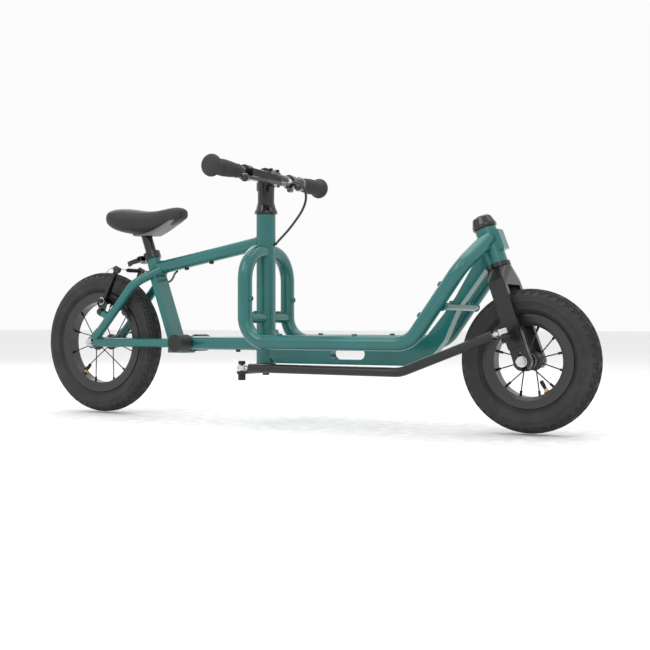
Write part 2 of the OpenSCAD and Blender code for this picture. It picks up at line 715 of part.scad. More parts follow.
// Stem bolts, the bolt under the steerer and the ball bolt at the arm's end
module cockpit_bolts() color(CHROME) at_frame() {
    for (y = [-12, 12], z = [-14.3, 14.3]) translate([bar_x + 1.2, y, bar_z + z]) rotate([0, 90, 0]) {
        cylinder(r = 2.5, h = 12);
        translate([0, 0, 9.4]) cylinder(r = 2.4, h = 4);
    }
    translate([column_x, 0, arm_z - 5]) hex(13, 5);
    translate([link_x, -link_y, 0]) {
        translate([0, 0, arm_z - 12]) hex(14, 12);
        translate([0, 0, arm_z]) cylinder(d = ball_bolt_d, h = 24);
        translate([0, 0, rod_z + eye_h / 2 + 1.8]) hex(13, 7, ball_bolt_d);
    }
}

module handlebar() color(BLACK) at_frame() translate([bar_x, 0, bar_z]) difference() {
    rod_y(bar_d / 2, 6 - grip_end, grip_end - 6);
    rod_y(bar_d / 2 - tube_wall, -grip_end, grip_end);
}

module grips() color(RUBBER) at_frame() both() translate([bar_x, grip_end - grip_l, bar_z]) along_y(0, 1)
    rotate_extrude($fn = 64) difference() {
        polygon(concat([[0, 0], [12.4, 0], [13.6, 1.4], [13.2, 8], [14.8, 24], [16, 44], [15.4, 60], [14, grip_l - 22]],
            [for (a = [-50:20:90]) [knob_d / 2 - 9 + 9 * cos(a), grip_l - 9 + 9 * sin(a)]], [[0, grip_l]]));
        translate([-1, -1]) square([bar_d / 2 + fit_gap + 1, grip_l - 5]);
    }

lever_x = 466;
lever_y = -28;
lever_z = 463;
module lever_perch() color(BLACK) at_frame() difference() {
    union() {
        translate([bar_x, 0, bar_z]) rod_y(bar_d / 2 + 4, -90, -74);
        hull() {
            translate([bar_x + 14, -88, bar_z - 8]) cube([6, 26, 15]);
            translate([lever_x - 8, lever_y - 8, lever_z + 5]) cube([12, 16, 11]);
        }
        hull() {
            translate([lever_x - 8, lever_y - 8, lever_z + 5]) cube([12, 16, 11]);
            translate([lever_x, 0, lever_z + 10]) rod_y(5.5, -4, 0);
        }
        translate([lever_x, lever_y, lever_z + 4.3]) cylinder(r = 8, h = 7);
    }
    bar_space();
    // Slot that takes the lever blade
    translate([lever_x - 14, lever_y - 30, lever_z - 4.3]) cube([40, 56, 8.6]);
    translate([lever_x, lever_y, lever_z - 10]) cylinder(r = 2.5, h = 30);
    translate([lever_x, 0, lever_z + 10]) rod_y(2.6, -8, 4);
}

// The blade, its pivot pin and the ball at its end
module brake_lever() color(BLACK) at_frame() {
    hull() {
        translate([lever_x, lever_y, lever_z - 4]) cylinder(r = 7, h = 8, $fn = 32);
        translate([lever_x + 5, lever_y - 52, lever_z - 4]) cylinder(r = 6, h = 7, $fn = 32);
    }
    hull() {
        translate([lever_x + 5, lever_y - 52, lever_z - 4]) cylinder(r = 6, h = 7, $fn = 32);
        translate([lever_x + 7, lever_y - 118, lever_z - 5]) cylinder(r = 4.5, h = 6, $fn = 32);
    }
    translate([lever_x + 7, lever_y - 126, lever_z - 2.5]) sphere(r = 8, $fn = 32);
    translate([lever_x, lever_y, lever_z - 7]) cylinder(r = 2.5 - run_gap, h = 17);
}

// A small bell: a dome on a clamp round the bar
module bell() color(BLACK) at_frame() translate([bar_x, 78, bar_z]) {
    difference() {
        union() {
            rod_y(bar_d / 2 + 3.5, -7, 7);
            translate([0, 0, -bar_d / 2 - 5]) rod_y(5, -5, 5);
            translate([bar_d / 2 - 2, -6, -8]) cube([10, 12, 10]);
        }
        rod_y(bar_d / 2 + fit_gap, -20, 20);
    }
    translate([bar_d / 2 + 8, 0, -5]) rotate([0, 100, 0]) rotate_extrude($fn = 64)
        polygon(concat([[0, 0], [15, 0]], arc([0, 0], 15, 8, 90, 8)));
}

module steering_arm() color(BLACK) at_frame() difference() {
    translate([0, 0, arm_z]) linear_extrude(arm_t - 0.1) hull() {
        translate([column_x, 0]) circle(r = 16, $fn = 64);
        translate([link_x, -link_y]) circle(r = 10, $fn = 64);
    }
    translate([link_x, -link_y, arm_z - 1]) cylinder(r = ball_bolt_d / 2 + fit_gap, h = 10);
}

module brake_cable_front() color(BLACK) at_frame() hose(FRONT_HOSE, hose_r);
module brake_cable_rear() color(BLACK) at_frame() hose(REAR_HOSE, hose_r);

// ---------------------------------------------------------------- cargo bed

module column_cope() translate([column_x, 0, 0]) cylinder(d = column_d, h = 600);

module hoop() color(TEAL) at_frame() difference() {
    bent_tube([[hoop_x, -rail_y, hoop_foot], [hoop_x, -rail_y, hoop_top], [hoop_x, rail_y, hoop_top],
        [hoop_x, rail_y, hoop_foot]], [0, hoop_r, hoop_r, 0], rail_d, tube_wall);
    column_cope();
    tube_space(top_a, top_b, top_tube_d);
    for (s = [-1, 1]) boss_space([hoop_x, s * rail_y, 240], [1, 0, 0]);
}

slope_dir = [cos(slope), 0, sin(slope)];
slope_n = [-sin(slope), 0, cos(slope)];
rail_knee = [slope_x, 0, rail_z];
rail_top = [868, 0, rail_z + (868 - slope_x) * tan(slope)];
rail_end = [891, 12, 340];
RAIL = [[hoop_x, rail_y, hoop_foot], [hoop_x, rail_y, rail_z], [slope_x, rail_y, rail_z],
    [rail_top[0], rail_y, rail_top[2]], rail_end];
BED_BOSSES = [500, 660];
SLOPE_BOSSES = [52, 118];
function slope_at(t, s) = [rail_knee[0], s * rail_y, rail_knee[2]] + t * slope_dir;

module rail() difference() {
    bent_tube(RAIL, [0, foot_r, bend_r, 42, 0], rail_d, tube_wall);
    head_space();
    translate([0, -100, 0]) cube([1200, 100, 500]);
    for (x = BED_BOSSES) boss_space([x, rail_y, rail_z], [0, 0, 1]);
    for (t = SLOPE_BOSSES) boss_space(slope_at(t, 1), slope_n);
}
module rail_left() color(TEAL) at_frame() rail();
module rail_right() color(TEAL) at_frame() mirror([0, 1, 0]) rail();

// Threaded inserts that stand a little proud of a tube at p, facing along d
boss_d = 10;
boss_hole = 2.5;
module boss_space(p, d) translate(p) aim(d) cylinder(d = boss_d, h = rail_d);
module boss(p, d) translate(p) aim(d) translate([0, 0, rail_d / 2 - 8]) difference() {
    cylinder(d = boss_d, h = 10.5);
    translate([0, 0, -1]) cylinder(r = boss_hole, h = 20);
}
module rack_bosses() color(TEAL) at_frame() for (s = [-1, 1]) {
    for (x = BED_BOSSES) boss([x, s * rail_y, rail_z], [0, 0, 1]);
    for (t = SLOPE_BOSSES) boss(slope_at(t, s), slope_n);
    boss([hoop_x, s * rail_y, 240], [1, 0, 0]);
}

// Screws under the top tube and the lower tube that hold a bottle cage
module cage_bolts() color(BLACK) at_frame() {
    top_u = unit(top_b - top_a);
    for (t = [80, 144]) translate(top_a + t * top_u) aim([top_u[2], 0, -top_u[0]])
        translate([0, 0, top_tube_d / 2 + 0.1]) cylinder(d = 10, h = 4);
    for (x = [352]) translate([x, 0, rear_r - main_tube_d / 2 - 4.1]) cylinder(d = 10, h = 4);
}

// Straight tubes across the hoop, under the bed and across the slope
module cross_tubes() color(TEAL) at_frame() {
    difference() {
        union() {
            translate([hoop_x, 0, 204]) rod_y(cross_d / 2, -rail_y, rail_y);
            for (s = [-1, 1]) translate([hoop_x + 2, s * 40, 204]) cylinder(r = 6, h = 13);
        }
        column_cope();
        // The hoop's legs, and the start of the rails' bend below them
        for (s = [-1, 1]) translate([hoop_x, s * rail_y, rail_z + foot_r]) {
            translate([0, 0, -foot_r]) cylinder(d = rail_d, h = 100);
            rotate([0, -10, 0]) translate([0, 0, -foot_r]) cylinder(d = rail_d, h = foot_r);
        }
    }
    for (x = [500, 690]) difference() {
        translate([x, 0, keel_top + 4]) rod_y(7, -rail_y, rail_y);
        for (s = [-1, 1]) tube_space([450, s * rail_y, rail_z], [740, s * rail_y, rail_z], rail_d);
        slab(keel_w) keel_outline();
    }
    difference() {
        union() {
            translate([front_cross_x, 0, front_cross_z]) rod_y(7, 7 - rail_y, rail_y - 7);
            for (s = [-1, 1]) translate([front_cross_x, s * 33, front_cross_z]) cylinder(r = 5, h = 10);
        }
        for (s = [-1, 1]) tube_space(slope_at(20, s), slope_at(150, s), rail_d);
        slab(keel_w) down_outline();
    }
}

// Keel: a box beam under the bed, with a chamfered heel and a rise at the column
mitre_a = [776, 128];
mitre_b = [752, 152];
module keel_outline() polygon(concat(
    [[column_x, 124], [column_x + 19.5, 124], [column_x + 30, keel_bottom], [keel_front, keel_bottom]],
    [[762, 119.5], mitre_a, mitre_b, [480, keel_top]],
    arc([474, keel_top + 34], 34, -100, -170, 6),
    [[column_x, 184]]));
module keel_beam() color(TEAL) at_frame() difference() {
    slab(keel_w) keel_outline();
    column_cope();
    translate([0, 30, keel_bottom + 20.5]) rotate([90, 0, 0]) {
        for (x = [583, 635]) translate([x, 0, 0]) cylinder(r = 11, h = 60);
        translate([583, -11, 0]) cube([52, 22, 60]);
    }
    for (x = [[450, 566], [652, 742]])
        translate([x[0], 2 - keel_w / 2, keel_bottom + 2])
            cube([x[1] - x[0], keel_w - 4, keel_top - keel_bottom - 4]);
}
module down_outline() polygon([mitre_b, mitre_a, [792, 143], [806.6, 160.7], [820, 190], [833.7, 219.7],
    [856.6, 249.6], [900, 307], [874, 314], [864.4, 298.5], [829.5, 239.9], [805.7, 208.2], [773, 169.5]]);
module down_tube() color(TEAL) at_frame() difference() {
    slab(keel_w) down_outline();
    at_head() translate([0, 0, -8]) cylinder(r = 22.3, h = 8.3);
    slab(keel_w - 4) polygon([[761, 153], [776, 134], [789.5, 146], [803.4, 162.5], [816.5, 191.5],
        [830.5, 221.5], [853.8, 252], [875, 280], [868, 296], [831.8, 238], [808, 206.3], [775.3, 166.6]]);
    head_space();
}

// ---------------------------------------------------------------- front end

// Frame of the head tube: origin at its bottom, z up its axis
module at_head() translate([head_low_x, 0, head_low_z]) rotate([0, -head_lean, 0]) children();
module head_space() at_head() translate([0, 0, -40]) cylinder(d = head_d, h = head_l + 100);

module head_tube() color(TEAL) at_frame() at_head() difference() {
    cylinder(d = head_d, h = head_l);
    translate([0, 0, -1]) cylinder(d = head_d - 2 * column_wall, h = head_l + 2);
}
column_wall = 2;

module head_plate() color(TEAL) at_frame() at_head() difference() {
    translate([10, -13, 20.5]) cube([15.5, 26, 36]);
    translate([0, 0, -1]) cylinder(d = head_d, h = head_l + 2);
}

// Frame of the fork: origin on the axle, z up the steering axis
module at_fork() translate([wheelbase, 0, front_r]) rotate([0, -head_lean, 0]) children();
fork_low = [head_low_x - wheelbase, head_low_z - front_r];
fork_off = fork_low[0] * cos(head_lean) + fork_low[1] * sin(head_lean);
fork_top = -fork_low[0] * sin(head_lean) + fork_low[1] * cos(head_lean);
crown_low = front_r + 8;

module fork_crown() color(BLACK) at_frame() at_fork() {
    translate([fork_off, 0, fork_top - 8]) cylinder(d = steerer_d, h = head_l + 16);
    difference() {
        hull() {
            translate([fork_off, 0, fork_top - 16]) cylinder(r = 21, h = 8.7, $fn = 32);
            translate([fork_off - blade_depth / 2, -blade_in - blade_t, crown_low])
                cube([blade_depth, 2 * (blade_in + blade_t), 12]);
        }
        translate([fork_off, 0, fork_top - 8]) cylinder(d = steerer_d, h = 20);
    }
}

module fork_blades() color(BLACK) at_frame() at_fork() both() translate([0, blade_in + blade_t, 0]) rotate([90, 0, 0])
    linear_extrude(blade_t) difference() {
        union() {
            circle(r = 16);
            polygon([[-15.6, -3], [15.6, -3], [15, 24], [fork_off + blade_depth / 2, crown_low - 0.1],
                [fork_off - blade_depth / 2, crown_low - 0.1], [-14.4, 24]]);
        }
        circle(d = axle_d + 2 * fit_gap);
        translate([-2.5, 0]) square([5, 17]);
        translate([-axle_d / 2 - fit_gap, -30]) square([axle_d + 2 * fit_gap, 30]);
    }

module fork_cap() color(BLACK) at_frame() at_head() translate([0, 0, head_l + 2.3]) rotate_extrude($fn = 64)
    difference() {
        polygon([[0, 0], [21.5, 0], [22, 2], [21.5, 6], [17, 19], [14, 21.5], [7, 22.5], [0, 23]]);
        translate([-1, -1]) square([steerer_d / 2 + fit_gap + 1, 8]);
    }

// Bracket bolted to the right fork blade, with a tab under the ball joint
module fork_arm() color(BLACK) at_frame() at_fork() difference() {
    union() {
        translate([-14, -blade_in - blade_t - 6, 26]) cube([28, 6, 30]);
        translate([ball_fx - 9, -link_y, ball_fz - 12]) cube([18, link_y - blade_in - blade_t, 5]);
        translate([ball_fx, -link_y, ball_fz - 12]) cylinder(r = 9, h = 5);
    }
    translate([ball_fx, -link_y, ball_fz - 20]) cylinder(r = ball_bolt_d / 2 + fit_gap, h = 30);
}
ball_dx = fork_ball_x - wheelbase;
ball_dz = fork_ball_z - front_r;
ball_fx = ball_dx * cos(head_lean) + ball_dz * sin(head_lean);
ball_fz = -ball_dx * sin(head_lean) + ball_dz * cos(head_lean);

// Front ball on its bolt, fixed to the fork arm
module fork_ball() color(CHROME) at_frame() at_fork() translate([ball_fx, -link_y, ball_fz]) {
    intersection() {
        sphere(d = ball_d, $fn = 48);
        cylinder(d = 40, h = eye_h + 0.6, center = true);
    }
    translate([0, 0, -12]) cylinder(d = ball_bolt_d, h = 25);
    translate([0, 0, -19]) hex(13, 7);
    translate([0, 0, eye_h / 2 + 1.8]) hex(13, 6, ball_bolt_d);
}

// Rear ball, which turns on the bolt of the steering arm
module link_ball() color(CHROME) at_frame() translate([link_x, -link_y, rod_z]) difference() {
    intersection() {
        sphere(d = ball_d, $fn = 48);
        cylinder(d = 40, h = eye_h + 0.6, center = true);
    }
    translate([0, 0, -10]) cylinder(r = ball_bolt_d / 2 + run_gap, h = 20);
}

rod_dir = unit([fork_ball_x - 752, 0, fork_ball_z - 105.5]);
rod_end = [fork_ball_x, -link_y, fork_ball_z] - 18 * rod_dir;
module link_rod() color(BLACK) at_frame()
    bent_tube([[link_x + 18, -link_y, rod_z], [752, -link_y, 105.5], rod_end], [0, 60, 0], rod_d, 2);

module eye(gap) difference() {
    cylinder(d = eye_d + 2, h = eye_h, center = true);
    cylinder(d = ball_d + 2 * gap, h = eye_h + 2, center = true);
}
// A rod end: the eye, its nut and the stud that is held by a plug in the hollow rod
module rod_eye(gap) {
    eye(gap);
    difference() {
        rotate([0, 90, 0]) cylinder(d = 8, h = 34);
        cylinder(d = eye_d, h = 30, center = true);
    }
    translate([11, 0, 0]) rotate([0, 90, 0]) hex(10, 5);
    translate([18.5, 0, 0]) rotate([0, 90, 0]) cylinder(d = rod_d - 4 - 2 * fit_gap, h = 14);
}
module link_rod_ends() color(CHROME) at_frame() {
    translate([link_x, -link_y, rod_z]) rod_eye(socket_gap);
    translate([fork_ball_x, -link_y, fork_ball_z]) aim(-rod_dir) rotate([0, -90, 0]) rod_eye(open_gap);
}

column_tube();
headset_cups();
main_tube();
top_tube();
seat_tube();
crank_shell();
foot_pegs();
chain_stays();
seat_stays();
dropouts();
hoop();
cross_tubes();
rail_left();
rail_right();
keel_beam();
down_tube();
head_tube();
head_plate();
rack_bosses();
cage_bolts();
seat_collar();
rear_axle();
brake_cable_rear();
seatpost();
saddle();
saddle_base();
quick_lever();
steerer();
headset_cover();
stem_clamp();
stem_faceplate();
cockpit_bolts();
handlebar();
grips();
lever_perch();
bell();
steering_arm();
brake_cable_front();
brake_lever();
link_ball();
link_rod();
link_rod_ends();
fork_crown();
fork_blades();
fork_cap();
fork_arm();
fork_ball();
front_axle();
front_tyre();
front_rim();
front_hub();
front_spokes();
front_tube();
rear_tyre();
rear_rim();
rear_hub();
rear_spokes();
rear_tube();
brake_arm_left();
brake_arm_right();
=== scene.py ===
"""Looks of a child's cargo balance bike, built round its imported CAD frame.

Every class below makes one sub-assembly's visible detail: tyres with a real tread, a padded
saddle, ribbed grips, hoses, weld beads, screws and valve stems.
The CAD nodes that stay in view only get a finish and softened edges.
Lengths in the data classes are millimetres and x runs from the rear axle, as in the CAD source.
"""
import json
import logging
import math
from dataclasses import dataclass, field
from enum import Enum
from typing import Iterable, Sequence

import bmesh
import bpy
from mathutils import Matrix, Vector


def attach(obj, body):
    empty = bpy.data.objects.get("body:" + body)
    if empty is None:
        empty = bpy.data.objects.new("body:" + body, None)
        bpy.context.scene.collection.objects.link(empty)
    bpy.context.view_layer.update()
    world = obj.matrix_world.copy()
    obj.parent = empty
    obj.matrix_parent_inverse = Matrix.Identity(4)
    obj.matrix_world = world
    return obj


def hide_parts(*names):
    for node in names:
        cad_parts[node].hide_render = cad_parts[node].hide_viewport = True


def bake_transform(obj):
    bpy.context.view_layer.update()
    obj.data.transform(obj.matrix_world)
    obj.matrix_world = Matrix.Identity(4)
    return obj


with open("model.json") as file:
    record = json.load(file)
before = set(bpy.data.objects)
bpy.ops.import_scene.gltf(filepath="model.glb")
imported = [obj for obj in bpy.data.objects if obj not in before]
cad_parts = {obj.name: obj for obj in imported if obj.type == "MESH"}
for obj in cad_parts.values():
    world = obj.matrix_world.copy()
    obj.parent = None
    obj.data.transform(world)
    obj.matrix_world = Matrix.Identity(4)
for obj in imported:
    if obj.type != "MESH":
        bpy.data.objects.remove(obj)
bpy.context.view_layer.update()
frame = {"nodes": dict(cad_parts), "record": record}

logging.basicConfig(level=logging.INFO, format="%(levelname)s %(message)s")
LOG = logging.getLogger("scene")

MM = 0.001
MIDDLE_X = 469.25
REAR_AXLE = (0.0, 0.0, 152.5)
FRONT_AXLE = (964.0, 0.0, 127.0)
BAR = (427.0, 0.0, 481.0)
BRAKE_LEAN = 65.0
BRAKE_POST = (31.0, 214.0)
SEAT_LEAN = 20.0

Colour = tuple[float, float, float]
Triple = Sequence[float]


def place(x: float, y: float, z: float) -> Vector:
    """Turns a point in rear-axle millimetres into the row frame.

    Args:
        x: Distance forward of the rear axle.
        y: Distance to the rider's left.
        z: Height above the ground.

    Returns:
        The point in metres.
    """
    return Vector(((x - MIDDLE_X) * MM, y * MM, z * MM))


class Body(Enum):
    """The CAD bodies that pieces ride on."""

    FRAME = "frame"
    SEAT = "seat"
    COCKPIT = "cockpit"
    FRONT_WHEEL = "front_wheel"
    REAR_WHEEL = "rear_wheel"
    LEFT_BRAKE = "left_brake"
    RIGHT_BRAKE = "right_brake"


# ------------------------------------------------------------------ shader maths


class Value:
    """A number in a shader, which the usual operators combine through Math nodes."""

    def __init__(self, graph: "Graph", socket: bpy.types.NodeSocket) -> None:
        """Wraps an output socket.

        Args:
            graph: The graph that the socket belongs to.
            socket: The output that carries the number.
        """
        self.graph = graph
        self.socket = socket

    def _math(self, operation: str, a: object, b: object) -> "Value":
        """Adds one Math node.

        Args:
            operation: The node's operation.
            a: First number, a Value or a float.
            b: Second number, a Value or a float.

        Returns:
            The node's result.
        """
        node = self.graph.node("ShaderNodeMath", {"operation": operation}, {0: a, 1: b})
        return Value(self.graph, node.outputs[0])

    def __add__(self, other: object) -> "Value":
        """Returns the sum."""
        return self._math("ADD", self, other)

    __radd__ = __add__

    def __sub__(self, other: object) -> "Value":
        """Returns the difference."""
        return self._math("SUBTRACT", self, other)

    def __rsub__(self, other: object) -> "Value":
        """Returns the difference the other way round."""
        return self._math("SUBTRACT", other, self)

    def __mul__(self, other: object) -> "Value":
        """Returns the product."""
        return self._math("MULTIPLY", self, other)

    __rmul__ = __mul__

    def __truediv__(self, other: object) -> "Value":
        """Returns the quotient."""
        return self._math("DIVIDE", self, other)

    def __rtruediv__(self, other: object) -> "Value":
        """Returns the quotient the other way round."""
        return self._math("DIVIDE", other, self)

    def __pow__(self, other: object) -> "Value":
        """Returns the power."""
        return self._math("POWER", self, other)

    def between(self, low: float, high: float) -> "Value":
        """Maps low to 0 and high to 1 smoothly, and clamps.

        Args:
            low: The input that gives 0.
            high: The input that gives 1.

        Returns:
            The mapped number.
        """
        node = self.graph.node(
            "ShaderNodeMapRange", {"interpolation_type": "SMOOTHSTEP"}, {0: self, 1: low, 2: high}
        )
        return Value(self.graph, node.outputs[0])


class Graph:
    """A material's node tree, with its Principled shader and object coordinates."""

    def __init__(self, name: str) -> None:
        """Starts a material.

        Args:
            name: The material's name.
        """
        self.material = bpy.data.materials.new(name)
        self.material.use_nodes = True
        self.tree = self.material.node_tree
        self.shader = self.tree.nodes["Principled BSDF"]
        self.place = self.node("ShaderNodeTexCoord").outputs["Object"]

    def node(
        self,
        kind: str,
        settings: dict[str, object] | None = None,
        sockets: dict[object, object] | None = None,
    ) -> bpy.types.Node:
        """Adds a node.

        Args:
            kind: The node's type.
            settings: Properties to set on it.
            sockets: Inputs by name or number, each a Value, a socket or a constant.

        Returns:
            The node.
        """
        made = self.tree.nodes.new(kind)
        for key, setting in (settings or {}).items():
            setattr(made, key, setting)
        for key, given in (sockets or {}).items():
            self.feed(made.inputs[key], given)
        return made

    def feed(self, target: bpy.types.NodeSocket, given: object) -> None:
        """Links or sets one input.

        Args:
            target: The input socket.
            given: A Value, a socket or a constant.
        """
        if isinstance(given, Value):
            self.tree.links.new(given.socket, target)
        elif isinstance(given, bpy.types.NodeSocket):
            self.tree.links.new(given, target)
        else:
            target.default_value = given

    def noise(self, scale: float, detail: float = 3.0, roughness: float = 0.5) -> Value:
        """Returns a noise between 0 and 1.

        Args:
            scale: Features per metre.
            detail: Octaves.
            roughness: Strength of each octave against the last.
        """
        node = self.node(
            "ShaderNodeTexNoise",
            None,
            {"Vector": self.place, "Scale": scale, "Detail": detail, "Roughness": roughness},
        )
        return Value(self, node.outputs["Fac"])

    def cells(self, scale: float) -> Value:
        """Returns the distance to the nearest cell point.

        Args:
            scale: Cells per metre.
        """
        node = self.node("ShaderNodeTexVoronoi", None, {"Vector": self.place, "Scale": scale})
        return Value(self, node.outputs["Distance"])

    def axis(self, name: str) -> Value:
        """Returns one object coordinate in metres.

        Args:
            name: X, Y or Z.
        """
        node = self.node("ShaderNodeSeparateXYZ", None, {0: self.place})
        return Value(self, node.outputs[name])

    def tint(self, factor: Value, low: Colour, high: Colour) -> bpy.types.NodeSocket:
        """Mixes two colours.

        Args:
            factor: 0 gives low and 1 gives high.
            low: First colour.
            high: Second colour.

        Returns:
            The colour socket.
        """
        node = self.node(
            "ShaderNodeMix",
            {"data_type": "RGBA"},
            {"Factor": factor, 6: (*low, 1.0), 7: (*high, 1.0)},
        )
        return node.outputs[2]

    def bump(self, height: Value, depth: float, strength: float = 1.0) -> None:
        """Feeds a bump into the shader's normal.

        Args:
            height: Height between 0 and 1.
            depth: Real depth in metres.
            strength: Weight of the effect.
        """
        node = self.node(
            "ShaderNodeBump", None, {"Height": height, "Distance": depth, "Strength": strength}
        )
        self.feed(self.shader.inputs["Normal"], node.outputs["Normal"])

    def set(self, **inputs: object) -> None:
        """Sets or links the shader's inputs.

        Args:
            **inputs: Input names with underscores for spaces.
        """
        for key, given in inputs.items():
            self.feed(self.shader.inputs[key.replace("_", " ")], given)


# ------------------------------------------------------------------ finishes


@dataclass(frozen=True)
class Finish:
    """A surface finish; subclasses add what the plain one lacks."""

    name: str
    base: Colour
    roughness: float

    def build(self) -> bpy.types.Material:
        """Makes the material.

        Returns:
            The Blender material.
        """
        graph = Graph(self.name)
        self.paint(graph)
        return graph.material

    def paint(self, graph: Graph) -> None:
        """Sets the shader up.

        Args:
            graph: The material's graph.
        """
        smudge = graph.noise(38.0, 4.0)
        dark = tuple(c * 0.86 for c in self.base)
        graph.set(
            Base_Color=graph.tint(smudge.between(0.35, 0.7), dark, self.base),
            Roughness=smudge * 0.08 + (self.roughness - 0.04),
        )


@dataclass(frozen=True)
class GlossPaint(Finish):
    """Powder coat: a smooth coat with a faint orange peel and a little dust."""

    metallic: float = 0.0
    coat: float = 1.0
    peel: float = 0.00006

    def paint(self, graph: Graph) -> None:
        """Sets the shader up.

        Args:
            graph: The material's graph.
        """
        cloud = graph.noise(9.0, 3.0)
        dust = graph.noise(160.0, 5.0, 0.65).between(0.55, 0.8)
        deep = tuple(c * 0.88 for c in self.base)
        light = tuple(min(1.0, c * 1.06) for c in self.base)
        graph.set(
            Base_Color=graph.tint(cloud.between(0.3, 0.7), deep, light),
            Metallic=self.metallic,
            Roughness=dust * 0.07 + cloud * 0.05 + self.roughness,
            Coat_Weight=self.coat,
            Coat_Roughness=0.06,
        )
        graph.bump(graph.noise(320.0, 2.0), self.peel, 0.12)


@dataclass(frozen=True)
class Plated(Finish):
    """Bright plated or polished metal with fine wear."""

    def paint(self, graph: Graph) -> None:
        """Sets the shader up.

        Args:
            graph: The material's graph.
        """
        haze = graph.noise(240.0, 5.0, 0.6)
        dull = tuple(c * 0.72 for c in self.base)
        graph.set(
            Base_Color=graph.tint(haze.between(0.5, 0.8), self.base, dull),
            Metallic=1.0,
            Roughness=haze * 0.16 + self.roughness,
        )
        graph.bump(graph.noise(1500.0, 2.0), 0.00003, 0.5)


@dataclass(frozen=True)
class Rubber(Finish):
    """Moulded rubber: matt, with a fine grain and paler dust on it."""

    grain: float = 1400.0
    depth: float = 0.00012
    dusty: float = 0.5

    def paint(self, graph: Graph) -> None:
        """Sets the shader up.

        Args:
            graph: The material's graph.
        """
        patch = graph.noise(26.0, 5.0, 0.6)
        pale = tuple(c + 0.03 * self.dusty for c in self.base)
        graph.set(
            Base_Color=graph.tint(patch.between(0.4, 0.75), self.base, pale),
            Roughness=patch * 0.12 + (self.roughness - 0.06),
            Specular_IOR_Level=0.38,
        )
        graph.bump(graph.noise(self.grain, 3.0) + graph.cells(self.grain * 0.4) * 0.4, self.depth, 0.5)


@dataclass(frozen=True)
class Leather(Finish):
    """Synthetic saddle cover with small pebbles and a soft sheen."""

    def paint(self, graph: Graph) -> None:
        """Sets the shader up.

        Args:
            graph: The material's graph.
        """
        pebble = graph.cells(900.0)
        worn = graph.noise(18.0, 3.0)
        soft = tuple(c * 1.5 for c in self.base)
        graph.set(
            Base_Color=graph.tint(worn.between(0.35, 0.7), self.base, soft),
            Roughness=worn * 0.12 + pebble * 0.1 + (self.roughness - 0.08),
            Specular_IOR_Level=0.45,
        )
        graph.bump(pebble + graph.noise(2600.0, 2.0) * 0.4, 0.00018, 0.5)


class Slot(Enum):
    """Material slots of the record with the finish that each one shows."""

    frame_paint = GlossPaint("teal powder coat", (0.001, 0.122, 0.114), 0.28, 0.0, 0.4)
    black_alloy = GlossPaint("gloss black alloy", (0.004, 0.004, 0.005), 0.16, 0.0, 0.25, 0.00003)
    black_steel = GlossPaint("satin black steel", (0.005, 0.005, 0.006), 0.3, 0.0, 0.1, 0.00005)
    wheel_black = GlossPaint("satin black wheel", (0.012, 0.012, 0.013), 0.36, 0.0, 0.3, 0.00004)
    spoke_black = GlossPaint("black wire", (0.014, 0.014, 0.015), 0.3, 0.6, 0.2, 0.00002)
    tyre = Rubber("tyre rubber", (0.022, 0.022, 0.023), 0.68, 1300.0, 0.00014, 0.5)
    inner_tube = Rubber("butyl rubber", (0.012, 0.012, 0.012), 0.6)
    peg_rubber = Rubber("peg rubber", (0.016, 0.016, 0.017), 0.55, 1500.0, 0.0001, 0.25)
    grip_rubber = Rubber("grip rubber", (0.026, 0.026, 0.028), 0.62, 1700.0, 0.0001, 0.4)
    hose = GlossPaint("cable housing", (0.007, 0.007, 0.007), 0.35, 0.0, 0.35, 0.00004)
    saddle_cover = Leather("saddle cover", (0.014, 0.014, 0.015), 0.5)
    saddle_shell = GlossPaint("moulded grey plastic", (0.15, 0.15, 0.16), 0.4, 0.0, 0.1, 0.00005)
    screws = GlossPaint("black screws", (0.010, 0.010, 0.010), 0.3, 0.5, 0.2, 0.00002)
    chrome = Plated("plated steel", (0.62, 0.63, 0.65), 0.14)
    brake_alloy = GlossPaint("gloss black brake", (0.005, 0.005, 0.006), 0.22, 0.0, 0.2, 0.00003)
    bell_plastic = GlossPaint("gloss black bell", (0.007, 0.007, 0.008), 0.16, 0.0, 1.0, 0.00002)


class Extra(Enum):
    """Finishes that only Blender pieces use."""

    brass = Plated("brass", (0.62, 0.42, 0.13), 0.22)
    cap = Rubber("valve cap", (0.010, 0.010, 0.010), 0.45)
    wire = Plated("steel wire", (0.45, 0.45, 0.46), 0.28)
    floor = Finish("pale floor", (0.92, 0.92, 0.92), 0.75)


class Palette:
    """Builds each finish once and hands it out."""

    def __init__(self) -> None:
        """Starts with no materials."""
        self.made: dict[str, bpy.types.Material] = {}

    def get(self, which: Slot | Extra) -> bpy.types.Material:
        """Returns the material of a slot or extra finish.

        Args:
            which: The slot or extra finish.
        """
        if which.name not in self.made:
            self.made[which.name] = which.value.build()
        return self.made[which.name]


PALETTE = Palette()


# ------------------------------------------------------------------ shapes


